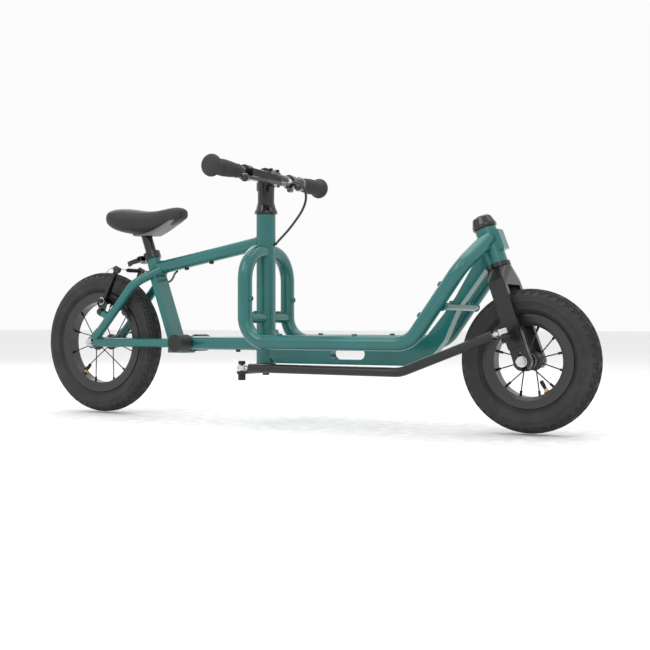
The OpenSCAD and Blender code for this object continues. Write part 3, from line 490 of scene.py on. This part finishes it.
class Shape:
    """Collects geometry in row-frame metres and turns it into one piece of the object."""

    def __init__(self, name: str) -> None:
        """Starts an empty shape.

        Args:
            name: The piece's name.
        """
        self.name = name
        self.bm = bmesh.new()

    def lathe(
        self,
        profile: Sequence[tuple[float, float]],
        origin: Vector,
        axis: Vector,
        steps: int = 48,
    ) -> list[bmesh.types.BMFace]:
        """Spins a profile about an axis.

        Args:
            profile: Points as (radius, distance along the axis) in millimetres.
            origin: A point on the axis.
            axis: The axis' direction.
            steps: Segments round the axis.

        Returns:
            The faces made.
        """
        up = axis.normalized()
        side = up.orthogonal().normalized()
        before = set(self.bm.faces)
        points = [self.bm.verts.new(origin + side * (r * MM) + up * (h * MM)) for r, h in profile]
        edges = [self.bm.edges.new(pair) for pair in zip(points, points[1:])]
        bmesh.ops.spin(
            self.bm,
            geom=points + edges,
            cent=origin,
            axis=up,
            angle=math.tau,
            steps=steps,
            use_merge=True,
        )
        bmesh.ops.remove_doubles(self.bm, verts=self.bm.verts[:], dist=1e-7)
        return [f for f in self.bm.faces if f not in before]

    def sweep(
        self,
        path: Sequence[Vector],
        radius: float | Sequence[float],
        sides: int = 10,
        closed: bool = False,
    ) -> None:
        """Sweeps a circle along a path.

        Args:
            path: Points of the centre line.
            radius: One radius in millimetres, or one for each point.
            sides: Sides of the circle.
            closed: Whether the path comes back to its start.
        """
        count = len(path)
        radii = list(radius) if not isinstance(radius, (int, float)) else [radius] * count
        loops: list[list[bmesh.types.BMEdge]] = []
        normal = Vector()
        for i, point in enumerate(path):
            ahead = path[(i + 1) % count] if closed or i < count - 1 else point
            behind = path[i - 1] if closed or i > 0 else point
            along = (ahead - behind).normalized()
            normal = along.orthogonal() if i == 0 else normal - along * normal.dot(along)
            normal.normalize()
            turn = Matrix((normal, along.cross(normal), along)).transposed().to_4x4()
            made = bmesh.ops.create_circle(
                self.bm,
                cap_ends=not closed and i in (0, count - 1),
                radius=radii[i] * MM,
                segments=sides,
                matrix=Matrix.Translation(point) @ turn,
            )
            ring = set(made["verts"])
            loops.append([e for v in ring for e in v.link_edges if e.other_vert(v) in ring])
        loops = [
            [e for e in set(loop) if all(len(v.link_edges) >= 2 for v in e.verts)] for loop in loops
        ]
        pairs = list(zip(loops, loops[1:])) + ([(loops[-1], loops[0])] if closed else [])
        for a, b in pairs:
            bmesh.ops.bridge_loops(self.bm, edges=list(set(a + b)))

    def rod(self, a: Vector, b: Vector, radius: float, sides: int = 24, chamfer: float = 0.4) -> None:
        """Adds a solid cylinder with chamfered ends.

        Args:
            a: Centre of one end.
            b: Centre of the other end.
            radius: Radius in millimetres.
            sides: Sides of the cylinder.
            chamfer: Size of the chamfer in millimetres.
        """
        length = (b - a).length / MM
        cut = min(chamfer, radius * 0.6, length * 0.4)
        self.lathe(
            [
                (0, 0), (radius - cut, 0), (radius, cut),
                (radius, length - cut), (radius - cut, length), (0, length),
            ],
            a,
            b - a,
            sides,
        )

    def screw(self, at: Vector, axis: Vector, radius: float, height: float, socket: float) -> None:
        """Adds a domed screw head with a hexagonal socket.

        Args:
            at: Centre of the head's seat.
            axis: Direction that the head faces.
            radius: Radius of the head in millimetres.
            height: Height of the head in millimetres.
            socket: Half the socket's width across flats in millimetres.
        """
        profile = [(0, 0), (radius, 0), (radius, height * 0.45), (radius * 0.94, height * 0.7)]
        profile += [(radius * 0.8, height * 0.92), (socket * 1.35, height)]
        faces = self.lathe(profile, at, axis, 24)
        up = axis.normalized()
        rim = [
            e
            for e in {e for f in faces for e in f.edges}
            if e.is_boundary and all((v.co - at).dot(up) > height * MM * 0.9 for v in e.verts)
        ]
        made = bmesh.ops.extrude_edge_only(self.bm, edges=rim)["geom"]
        lip = [v for v in made if isinstance(v, bmesh.types.BMVert)]
        side = up.orthogonal().normalized()
        other = up.cross(side)
        for v in lip:
            flat = v.co - at
            angle = math.atan2(flat.dot(other), flat.dot(side))
            wrapped = (angle + math.pi / 6) % (math.pi / 3) - math.pi / 6
            reach = socket * MM / math.cos(wrapped)
            v.co = at + up * (height * MM * 0.97) + (side * math.cos(angle) + other * math.sin(angle)) * reach
        edges = [e for e in made if isinstance(e, bmesh.types.BMEdge)]
        ring = [e for e in edges if all(v in lip for v in e.verts)]
        down = bmesh.ops.extrude_edge_only(self.bm, edges=ring)["geom"]
        deep = [v for v in down if isinstance(v, bmesh.types.BMVert)]
        bmesh.ops.translate(self.bm, verts=deep, vec=-up * (height * 0.7 * MM))
        bmesh.ops.contextual_create(self.bm, geom=deep)

    def piece(
        self,
        finish: Slot | Extra,
        body: Body | None,
        smooth: float = 35.0,
        replaces: Iterable[str] = (),
    ) -> bpy.types.Object:
        """Turns the shape into an object that rides on a body.

        Args:
            finish: Its slot or extra finish.
            body: The body it rides on, or None to leave it on no body.
            smooth: Edges sharper than this angle in degrees stay crisp.
            replaces: CAD nodes that it stands for.

        Returns:
            The object.
        """
        bmesh.ops.recalc_face_normals(self.bm, faces=self.bm.faces[:])
        for face in self.bm.faces:
            face.smooth = True
        for edge in self.bm.edges:
            edge.smooth = len(edge.link_faces) != 2 or edge.calc_face_angle(0.0) < math.radians(smooth)
        mesh = bpy.data.meshes.new(self.name)
        self.bm.to_mesh(mesh)
        self.bm.free()
        mesh.materials.append(PALETTE.get(finish))
        made = bpy.data.objects.new(self.name, mesh)
        bpy.context.scene.collection.objects.link(made)
        if body is not None:
            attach(made, body.value)
        nodes = list(replaces)
        if nodes:
            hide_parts(*nodes)
        LOG.info("%s: %d faces on %s", self.name, len(mesh.polygons), body.value if body else "a blend")
        return made


def curve(points: Sequence[Vector], steps: int) -> list[Vector]:
    """Runs a smooth curve through points.

    Args:
        points: Points to pass through.
        steps: Pieces between two points.

    Returns:
        The points of the curve.
    """
    ends = [points[0] * 2 - points[1], *points, points[-1] * 2 - points[-2]]
    found: list[Vector] = []
    for i in range(1, len(ends) - 2):
        a, b, c, d = ends[i - 1 : i + 3]
        for j in range(steps):
            t = j / steps
            found.append(
                0.5
                * (2 * b + (c - a) * t + (2 * a - 5 * b + 4 * c - d) * t**2 + (3 * b - a - 3 * c + d) * t**3)
            )
    return [*found, points[-1].copy()]


# ------------------------------------------------------------------ wheels


@dataclass
class TyreTread:
    """A tyre with ribbed sidewalls and rows of tread blocks."""

    name: str
    node: str
    body: Body
    axle: Triple
    radius: float
    steps: int
    width: float = 50.0
    block_height: float = 1.5
    groove: float = 0.9
    slant: float = 0.55

    def profile(self) -> list[tuple[float, float, int]]:
        """Returns the outer profile as (radius, side, row), where row is 0 on the sidewall."""
        middle = self.radius - self.width / 2
        outer = self.width / 2 - self.block_height
        angles = [-57, -43, -28, -24, -9, 9, 24, 28, 43, 57]
        rows = [1, 2, 0, 3, 4, 3, 0, 2, 1]
        found: list[tuple[float, float, int]] = []
        side = [(-150, 0.0), (-138, 0.0), (-126, 0.0), (-122, 0.8), (-118, 0.8), (-114, 0.0), (-98, 0.0)]
        side += [(-90, 0.3), (-87, 1.1), (-84, 1.1), (-81, 0.2), (-72, 0.3), (-65, 0.5), (-60, 0.9)]
        for angle, lift in side:
            found.append((*self._at(middle, self.width / 2 - 1.6 + lift, angle), 0))
        for angle, row in zip(angles, rows + [0]):
            found.append((*self._at(middle, outer, angle), row))
        for angle, lift in reversed(side):
            found.append((*self._at(middle, self.width / 2 - 1.6 + lift, -angle), 0))
        return found

    @staticmethod
    def _at(middle: float, reach: float, angle: float) -> tuple[float, float]:
        """Returns radius and side of a point round the tyre's section."""
        turn = math.radians(angle)
        return middle + reach * math.cos(turn), reach * math.sin(turn)

    def build(self) -> bpy.types.Object:
        """Makes the tyre.

        Returns:
            The tyre's object.
        """
        shape = Shape(self.name)
        profile = self.profile()
        centre = place(*self.axle)
        shape.lathe([(r, y) for r, y, _ in profile], centre, Vector((0, 1, 0)), self.steps)
        turn = math.tau / self.steps
        rows: dict[bmesh.types.BMFace, int] = {}
        for face in shape.bm.faces:
            middle = face.calc_center_median() - centre
            reach = math.hypot(middle.x, middle.z) / MM
            angle = math.degrees(math.atan2(middle.y / MM, reach - (self.radius - self.width / 2)))
            around = int(math.floor(math.atan2(middle.z, middle.x) / turn))
            if self._has_block(abs(angle), around, angle > 0):
                rows[face] = around
        for vert in shape.bm.verts:
            self._slant(vert, centre, turn)
        bmesh.ops.inset_individual(
            shape.bm,
            faces=list(rows),
            thickness=self.groove * MM,
            depth=self.block_height * 0.92 * MM,
            use_even_offset=True,
        )
        return shape.piece(Slot.tyre, self.body, 28.0, [self.node])

    @staticmethod
    def _has_block(angle: float, around: int, left: bool) -> bool:
        """Tells whether a face of the tread carries a block."""
        if 45 < angle < 56:
            return around % 2 == (0 if left else 1)
        if 30 < angle < 42:
            return True
        if 10 < angle < 23:
            return around % 4 != (1 if left else 3)
        return angle < 8 and around % 2 == 0

    def _slant(self, vert: bmesh.types.BMVert, centre: Vector, turn: float) -> None:
        """Turns a tread point a little about the axle, so that the blocks form a chevron."""
        offset = vert.co - centre
        reach = math.hypot(offset.x, offset.z) / MM
        angle = math.degrees(math.atan2(abs(offset.y) / MM, reach - (self.radius - self.width / 2)))
        if angle < 61:
            share = min(1.0, angle / 45.0) * (1.0 - max(0.0, angle - 52) / 9.0)
            spin = Matrix.Rotation(turn * self.slant * share, 4, "Y")
            vert.co = centre + spin @ offset


@dataclass
class Valve:
    """A valve's brass stem with its black cap and its ring nut at the rim."""

    name: str
    body: Body
    axle: Triple
    radius: float
    angle: float
    root: float = 65.5

    def build(self) -> None:
        """Makes the stem and the cap."""
        turn = math.radians(self.angle)
        out = Vector((math.cos(turn), 0, math.sin(turn)))
        rim = place(*self.axle) + out * ((self.radius - self.root) * MM)
        stem = Shape(self.name + "_stem")
        stem.lathe([(3.3, 0), (3.3, 6), (2.9, 7), (2.9, 14), (2.6, 15), (2.6, 17), (0, 17)], rim, -out, 20)
        stem.lathe([(3.2, 0.2), (5.2, 0.2), (5.4, 0.6), (5.4, 2.2), (5.0, 2.6), (3.2, 2.6)], rim, -out, 12)
        stem.piece(Extra.brass, self.body)
        cap = Shape(self.name + "_cap")
        profile = [(3.1, 12), (3.7, 12.2)]
        for i in range(6):
            profile += [(3.7, 12.6 + i * 1.3), (3.45, 13.2 + i * 1.3)]
        profile += [(3.7, 20.6), (3.3, 22), (2.2, 22.7), (0, 22.9)]
        cap.lathe(profile, rim, -out, 20)
        cap.piece(Extra.cap, self.body)


@dataclass
class Wheels:
    """Tyres and valves of both wheels."""

    def build(self) -> None:
        """Makes the wheels' own pieces."""
        TyreTread("rear_tyre_tread", "rear_tyre", Body.REAR_WHEEL, REAR_AXLE, REAR_AXLE[2], 108).build()
        TyreTread("front_tyre_tread", "front_tyre", Body.FRONT_WHEEL, FRONT_AXLE, FRONT_AXLE[2], 90).build()
        Valve("rear_valve", Body.REAR_WHEEL, REAR_AXLE, REAR_AXLE[2], 230.0).build()
        Valve("front_valve", Body.FRONT_WHEEL, FRONT_AXLE, FRONT_AXLE[2], -60.0).build()


# ------------------------------------------------------------------ CAD nodes that stay in view


@dataclass
class CadLooks:
    """Finishes and softened edges for the CAD nodes."""

    hidden_bevel: frozenset[str] = frozenset({"front_spokes", "rear_spokes", "front_tube", "rear_tube"})
    widths: dict[str, float] = field(
        default_factory=lambda: {"fork_blades": 2.2, "fork_crown": 2.5, "keel_beam": 1.8, "down_tube": 1.8}
    )

    def build(self) -> None:
        """Gives each CAD node its slot's finish and softened edges."""
        slots = {row["node"]: row["material_slot"] for row in frame["record"]["subparts"]}
        for name, node in frame["nodes"].items():
            finish = Slot[slots[name]]
            node.data.materials.clear()
            node.data.materials.append(PALETTE.get(finish))
            for polygon in node.data.polygons:
                polygon.use_smooth = True
            if name not in self.hidden_bevel:
                self.soften(node, self.widths.get(name, 0.5))
        LOG.info("finished %d CAD nodes", len(slots))

    @staticmethod
    def soften(node: bpy.types.Object, width: float) -> None:
        """Adds a small bevel to a node's sharp edges.

        Args:
            node: The CAD node.
            width: Width of the bevel in millimetres.
        """
        bevel = node.modifiers.new("soft edges", "BEVEL")
        bevel.width = width * MM
        bevel.segments = 2
        bevel.limit_method = "ANGLE"
        bevel.angle_limit = math.radians(40)
        bevel.use_clamp_overlap = True
        bevel.harden_normals = True
        flat = node.modifiers.new("flat faces stay flat", "WEIGHTED_NORMAL")
        flat.mode = "FACE_AREA_WITH_ANGLE"
        flat.weight = 80
        flat.keep_sharp = True


# ------------------------------------------------------------------ welds


@dataclass
class Tube:
    """A straight tube: a point on its axis, its direction and its radius."""

    at: Triple
    along: Triple
    radius: float


@dataclass
class WeldBeads:
    """Weld beads where the frame's tubes meet."""

    bead: float = 1.7
    ripple: float = 0.18
    sides: int = 7

    @staticmethod
    def meeting(a: Tube, b: Tube, count: int) -> list[Vector]:
        """Returns the closed curve where tube a runs into tube b.

        Args:
            a: The tube that ends.
            b: The tube that it ends on.
            count: Points on the curve.
        """
        along = Vector(a.along).normalized()
        side = along.orthogonal().normalized()
        other = along.cross(side)
        axis = Vector(b.along).normalized()
        found = []
        for i in range(count):
            turn = math.tau * i / count
            start = Vector(a.at) + (side * math.cos(turn) + other * math.sin(turn)) * a.radius
            gap = start - Vector(b.at)
            d = along - axis * along.dot(axis)
            g = gap - axis * gap.dot(axis)
            half = d.dot(g)
            square = d.length_squared
            rest = half * half - square * (g.length_squared - (b.radius + 0.2) ** 2)
            step = (-half - math.sqrt(max(0.0, rest))) / square
            found.append(start + along * step)
        return found

    def add(self, shape: Shape, a: Tube, b: Tube) -> None:
        """Adds one bead.

        Args:
            shape: The shape to add to.
            a: The tube that ends.
            b: The tube that it ends on.
        """
        count = max(36, int(math.tau * a.radius / 1.3))
        points = [place(*p) for p in self.meeting(a, b, count)]
        radii = [self.bead * (1 + self.ripple * (1 if i % 2 else -1)) for i in range(count)]
        shape.sweep(points, radii, self.sides, closed=True)

    def build(self) -> None:
        """Makes every bead of the frame as one piece."""
        shape = Shape("weld_beads")
        column = Tube((419, 0, 200), (0, 0, 1), 19)
        lean = math.radians(SEAT_LEAN)
        seat = Tube((198.4, 0, 152.5), (-math.sin(lean), 0, math.cos(lean)), 14.5)
        rise = math.radians(9.6)
        top = Tube((141.8, 0, 308), (math.cos(rise), 0, math.sin(rise)), 14)
        shell = Tube((232, 0, 152.5), (0, 1, 0), 15)
        self.add(shape, Tube((300, 0, 308 + 158.2 * math.tan(rise)), top.along, 14), column)
        self.add(shape, Tube((250, 0, 308 + 108.2 * math.tan(rise)), [-v for v in top.along], 14), seat)
        self.add(shape, Tube((300, 0, 152.5), (1, 0, 0), 13.5), column)
        self.add(shape, Tube((300, 0, 152.5), (-1, 0, 0), 13.5), shell)
        slope = math.radians(53.9)
        for s in (-1, 1):
            leg = Tube((421, 77 * s, 220), (0, 0, 1), 14)
            rail = Tube((600, 77 * s, 156.5), (1, 0, 0), 14)
            ramp = Tube((770.4, 77 * s, 156.5), (math.cos(slope), 0, math.sin(slope)), 14)
            self.add(shape, Tube((421, 50 * s, 334), (0, -s, 0), 14), column)
            self.add(shape, Tube((421, 40 * s, 204), (0, -s, 0), 11), column)
            self.add(shape, Tube((421, 40 * s, 204), (0, s, 0), 11), leg)
            for x in (500, 690):
                self.add(shape, Tube((x, 30 * s, 156), (0, s, 0), 7), rail)
            self.add(shape, Tube((832, 30 * s, 222), (0, s, 0), 7), ramp)
        shape.piece(Slot.frame_paint, Body.FRAME, 80.0)


# ------------------------------------------------------------------ saddle


@dataclass
class Saddle:
    """A padded saddle, lofted through cross-sections and smoothed by subdivision."""

    sections: tuple[tuple[float, float, float, float], ...] = (
        (35, 24, 405, 426),
        (42, 47, 398, 434),
        (58, 61, 388, 438),
        (82, 63, 383, 437.5),
        (106, 53, 380, 433),
        (130, 39, 381, 429.5),
        (154, 28, 387, 429.5),
        (178, 23, 396, 433.5),
        (200, 20.5, 404, 435.5),
        (213, 17, 408, 433),
        (219, 10, 413, 427),
    )
    sides: int = 20

    def build(self) -> None:
        """Makes the cover."""
        shape = Shape("saddle_cover")
        loops: list[list[bmesh.types.BMEdge]] = []
        for i, (x, half, low, high) in enumerate(self.sections):
            centre = place(x, 0, (low + high) / 2)
            ring = bmesh.ops.create_circle(
                shape.bm, cap_ends=i in (0, len(self.sections) - 1), radius=1.0, segments=self.sides
            )["verts"]
            for vert in ring:
                across, up = vert.co.x, vert.co.y
                wide = math.copysign(abs(across) ** 0.82, across) * half
                tall = math.copysign(abs(up) ** 0.74, up) * (high - low) / 2
                vert.co = centre + Vector((0, wide * MM, tall * MM))
            own = set(ring)
            touching = {e for v in ring for e in v.link_edges}
            loops.append([e for e in touching if all(v in own for v in e.verts)])
        for a, b in zip(loops, loops[1:]):
            bmesh.ops.bridge_loops(shape.bm, edges=a + b)
        made = shape.piece(Slot.saddle_cover, Body.SEAT, 80.0, ["saddle"])
        smooth = made.modifiers.new("padding", "SUBSURF")
        smooth.levels = 2
        smooth.render_levels = 3


# ------------------------------------------------------------------ grips


@dataclass
class Grips:
    """Ribbed rubber grips with a safety knob at each end of the bar."""

    start: float = 111.0
    length: float = 92.0
    rib: float = 0.45
    pitch: float = 3.0

    def profile(self) -> list[tuple[float, float]]:
        """Returns the grip's outline as (radius, distance along the bar)."""
        shape = [(8.0, 13.2), (24.0, 14.8), (44.0, 16.0), (60.0, 15.4), (70.0, 14.0)]
        found = [(11.3, 0.0), (12.4, 0.0), (13.6, 1.4), (13.2, 8.0)]
        at = 11.0
        while at < 68.0:
            low = max(i for i, (h, _) in enumerate(shape[:-1]) if h <= at)
            (h0, r0), (h1, r1) = shape[low], shape[low + 1]
            radius = r0 + (r1 - r0) * (at - h0) / (h1 - h0)
            found += [(radius - self.rib, at), (radius, at + 0.7), (radius, at + self.pitch - 1.2)]
            found.append((radius - self.rib, at + self.pitch - 0.5))
            at += self.pitch
        for degrees in range(-50, 91, 10):
            turn = math.radians(degrees)
            found.append((12 + 9 * math.cos(turn), self.length - 9 + 9 * math.sin(turn)))
        return [*found, (0.0, self.length)]

    def build(self) -> None:
        """Makes both grips."""
        shape = Shape("ribbed_grips")
        for side in (-1, 1):
            shape.lathe(self.profile(), place(BAR[0], side * self.start, BAR[2]), Vector((0, side, 0)), 64)
        shape.piece(Slot.grip_rubber, Body.COCKPIT, 30.0, ["grips"])


# ------------------------------------------------------------------ brake line


@dataclass
class BrakeLine:
    """Hoses, noodle, boot, wire and the small metal parts of the brake."""

    hose: float = 2.5
    arm_top: float = 100.0
    pad_up: float = 26.5
    post_side: float = 40.0
    perch_face: Triple = (466, 0.2, 473)
    front: tuple[Triple, ...] = (
        (466, 18, 473), (470, 34, 472), (474, 50, 466), (475, 60, 452), (472, 63, 436), (466, 59, 418),
        (458, 50, 400), (450, 38, 382), (444, 24, 367), (440, 11, 355), (441, 2, 349),
    )
    rear: tuple[Triple, ...] = (
        (190, 10, 302.3), (174, 22, 297), (158, 36, 289), (142, 46, 283), (126, 52, 282),
        (112, 55, 288), (102, 56, 298),
    )

    @staticmethod
    def on_arm(back: float, side: float, up: float) -> Vector:
        """Turns a point in the brake arms' own axes into the row frame.

        Args:
            back: Distance back along the pivot post.
            side: Distance to the rider's left.
            up: Distance up the arm.

        Returns:
            The point in metres.
        """
        lean = math.radians(BRAKE_LEAN)
        x = BRAKE_POST[0] - back * math.sin(lean) + up * math.cos(lean)
        return place(x, side, BRAKE_POST[1] + back * math.cos(lean) + up * math.sin(lean))

    def hoses(self) -> None:
        """Makes the two hoses; the front one rides on no body."""
        front = Shape("front_hose")
        front.sweep(curve([place(*p) for p in self.front], 8), self.hose, 16)
        made = front.piece(Slot.hose, None, 60.0, ["brake_cable_front"])
        place(475, 60, 452)
        place(450, 38, 382)
        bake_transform(made)
        rear = Shape("rear_hose")
        rear.sweep(curve([place(*p) for p in self.rear], 8), self.hose, 16)
        rear.piece(Slot.hose, Body.FRAME, 60.0, ["brake_cable_rear"])

    def adjuster(self) -> None:
        """Makes the knurled barrel adjuster where the hose meets the lever."""
        shape = Shape("barrel_adjuster")
        profile = [(0, 0), (2.3, 0), (2.3, 3.2), (4.6, 3.2), (5.0, 3.7), (5.0, 6.2), (4.6, 6.7), (3.4, 6.9)]
        for i in range(5):
            profile += [(4.1, 7.2 + i * 1.5), (3.8, 8.0 + i * 1.5)]
        profile += [(3.7, 14.8), (3.3, 17.6), (0, 17.8)]
        shape.lathe(profile, place(*self.perch_face), Vector((0, 1, 0)), 32)
        shape.piece(Slot.chrome, Body.COCKPIT)

    def noodle(self) -> None:
        """Makes the bent guide and its rubber boot on the left arm."""
        shape = Shape("brake_noodle")
        top = self.on_arm(5, 31, self.arm_top)
        bend = (place(72, 53, 307), place(84, 57.5, 305), place(101, 56.2, 298.6))
        points = [top, self.on_arm(5, 44, self.arm_top), *bend]
        shape.sweep(curve(points, 8), 2.1, 16)
        shape.piece(Extra.wire, Body.LEFT_BRAKE, 60.0)
        boot = Shape("brake_boot")
        profile = [(0, 0), (3.2, 0)]
        for i in range(9):
            profile += [(4.4, 1.6 + i * 4.2), (3.1, 3.7 + i * 4.2)]
        boot.lathe([*profile, (2.0, 40.5), (0, 40.6)], top, Vector((0, -1, 0)), 24)
        boot.piece(Extra.cap, Body.LEFT_BRAKE, 60.0)

    def clamp(self) -> None:
        """Makes the inner wire with its pinch bolt on the right arm."""
        wire = Shape("brake_wire")
        run = [self.on_arm(8, side, self.arm_top) for side in (20, -10)]
        tail = [*run, self.on_arm(12.4, -39, self.arm_top + 1)]
        wire.sweep(curve([*tail, self.on_arm(13, -52, 97), self.on_arm(13, -58, 90)], 6), 0.75, 10)
        wire.rod(self.on_arm(13, -57, 91.5), self.on_arm(13, -60.5, 86.5), 1.3, 12, 0.3)
        wire.piece(Extra.wire, Body.RIGHT_BRAKE, 60.0)
        back = self.on_arm(1, 0, 0) - self.on_arm(0, 0, 0)
        bolt = Shape("pinch_bolt")
        bolt.rod(self.on_arm(11, -39, self.arm_top), self.on_arm(12.2, -39, self.arm_top), 5.6, 28, 0.3)
        bolt.screw(self.on_arm(12.8, -39, self.arm_top), back, 4.6, 3.8, 2.0)
        bolt.piece(Slot.chrome, Body.RIGHT_BRAKE)

    def pivots(self) -> None:
        """Makes the pivot screws and the bright washers at the pads."""
        back = self.on_arm(1, 0, 0) - self.on_arm(0, 0, 0)
        for side, body in ((1, Body.LEFT_BRAKE), (-1, Body.RIGHT_BRAKE)):
            metal = Shape(f"{body.value}_washer")
            faces = [self.on_arm(5.5, side * y, self.pad_up) for y in (52.5, 53.4)]
            metal.rod(*faces, 8.0, 32, 0.25)
            metal.piece(Slot.chrome, body)
            pivot = Shape(f"{body.value}_pivot")
            pivot.screw(self.on_arm(10.6, side * self.post_side, 0), back, 6.6, 3.4, 2.5)
            pivot.piece(Slot.screws, body)

    def build(self) -> None:
        """Makes every piece of the brake line."""
        self.hoses()
        self.adjuster()
        self.noodle()
        self.clamp()
        self.pivots()


# ------------------------------------------------------------------ screws


@dataclass
class CageScrews:
    """Domed hexagon-socket screws under the top tube and the lower tube."""

    rise: float = 9.6
    reach: tuple[float, float] = (80.0, 144.0)

    def build(self) -> None:
        """Makes the three screws as one piece."""
        shape = Shape("cage_screws")
        turn = math.radians(self.rise)
        down = Vector((math.sin(turn), 0, -math.cos(turn)))
        start_x = 198.4 - (308 - REAR_AXLE[2]) * math.tan(math.radians(SEAT_LEAN))
        for reach in self.reach:
            along = place(start_x + reach * math.cos(turn), 0, 308 + reach * math.sin(turn))
            shape.screw(along + down * (14.1 * MM), down, 5.0, 4.0, 2.0)
        shape.screw(place(352, 0, REAR_AXLE[2] - 13.6), Vector((0, 0, -1)), 5.0, 4.0, 2.0)
        shape.piece(Slot.screws, Body.FRAME, 35.0, ["cage_bolts"])


# ------------------------------------------------------------------ stage


@dataclass
class Stage:
    """Floor, lights and camera."""

    lens: float = 59.18

    def build(self) -> None:
        """Makes the stage."""
        self.floor()
        self.lights()
        self.camera()

    @staticmethod
    def floor() -> None:
        """Lays a large pale floor."""
        bm = bmesh.new()
        bmesh.ops.create_grid(bm, x_segments=1, y_segments=1, size=30)
        mesh = bpy.data.meshes.new("floor")
        bm.to_mesh(mesh)
        bm.free()
        mesh.materials.append(PALETTE.get(Extra.floor))
        made = bpy.data.objects.new("floor", mesh)
        made.location = (0, 0, -0.0006)
        bpy.context.scene.collection.objects.link(made)

    @staticmethod
    def area(name: str, at: Triple, target: Triple, size: float, power: float) -> None:
        """Adds a square soft light.

        Args:
            name: Its name.
            at: Its place.
            target: The point it faces.
            size: Its side in metres.
            power: Its power in watts.
        """
        light = bpy.data.lights.new(name, "AREA")
        light.energy = power
        light.size = size
        lamp = bpy.data.objects.new(name, light)
        lamp.location = at
        lamp.rotation_euler = (Vector(target) - Vector(at)).to_track_quat("-Z", "Y").to_euler()
        bpy.context.scene.collection.objects.link(lamp)

    def lights(self) -> None:
        """Adds soft studio light from above and both sides, and a pale world."""
        self.area("key", (-0.6, -2.2, 2.3), (0, 0, 0.2), 1.6, 20)
        self.area("top", (0.2, 0.3, 2.6), (0, 0, 0.1), 2.4, 26)
        self.area("rim", (-2.2, 1.6, 2.0), (0, 0, 0.25), 1.4, 12)
        self.area("side", (1.9, -2.6, 2.2), (0.2, 0, 0.2), 1.4, 8)
        world = bpy.data.worlds.new("studio")
        world.use_nodes = True
        world.node_tree.nodes["Background"].inputs["Color"].default_value = (1, 1, 1, 1)
        world.node_tree.nodes["Background"].inputs["Strength"].default_value = 0.97
        bpy.context.scene.world = world
        bpy.context.scene.view_settings.view_transform = "Standard"

    def camera(self) -> None:
        """Places the camera at the view's angle."""
        data = bpy.data.cameras.new("camera")
        data.sensor_width = 36
        data.lens = self.lens
        made = bpy.data.objects.new("camera", data)
        made.location = (1.11145, -1.778, 0.1894)
        made.rotation_euler = (math.radians(90), 0, math.radians(30))
        bpy.context.scene.collection.objects.link(made)
        bpy.context.scene.camera = made


def main() -> None:
    """Builds the whole scene."""
    CadLooks().build()
    Wheels().build()
    WeldBeads().build()
    Saddle().build()
    Grips().build()
    BrakeLine().build()
    CageScrews().build()
    Stage().build()


if __name__ == "__main__":
    main()
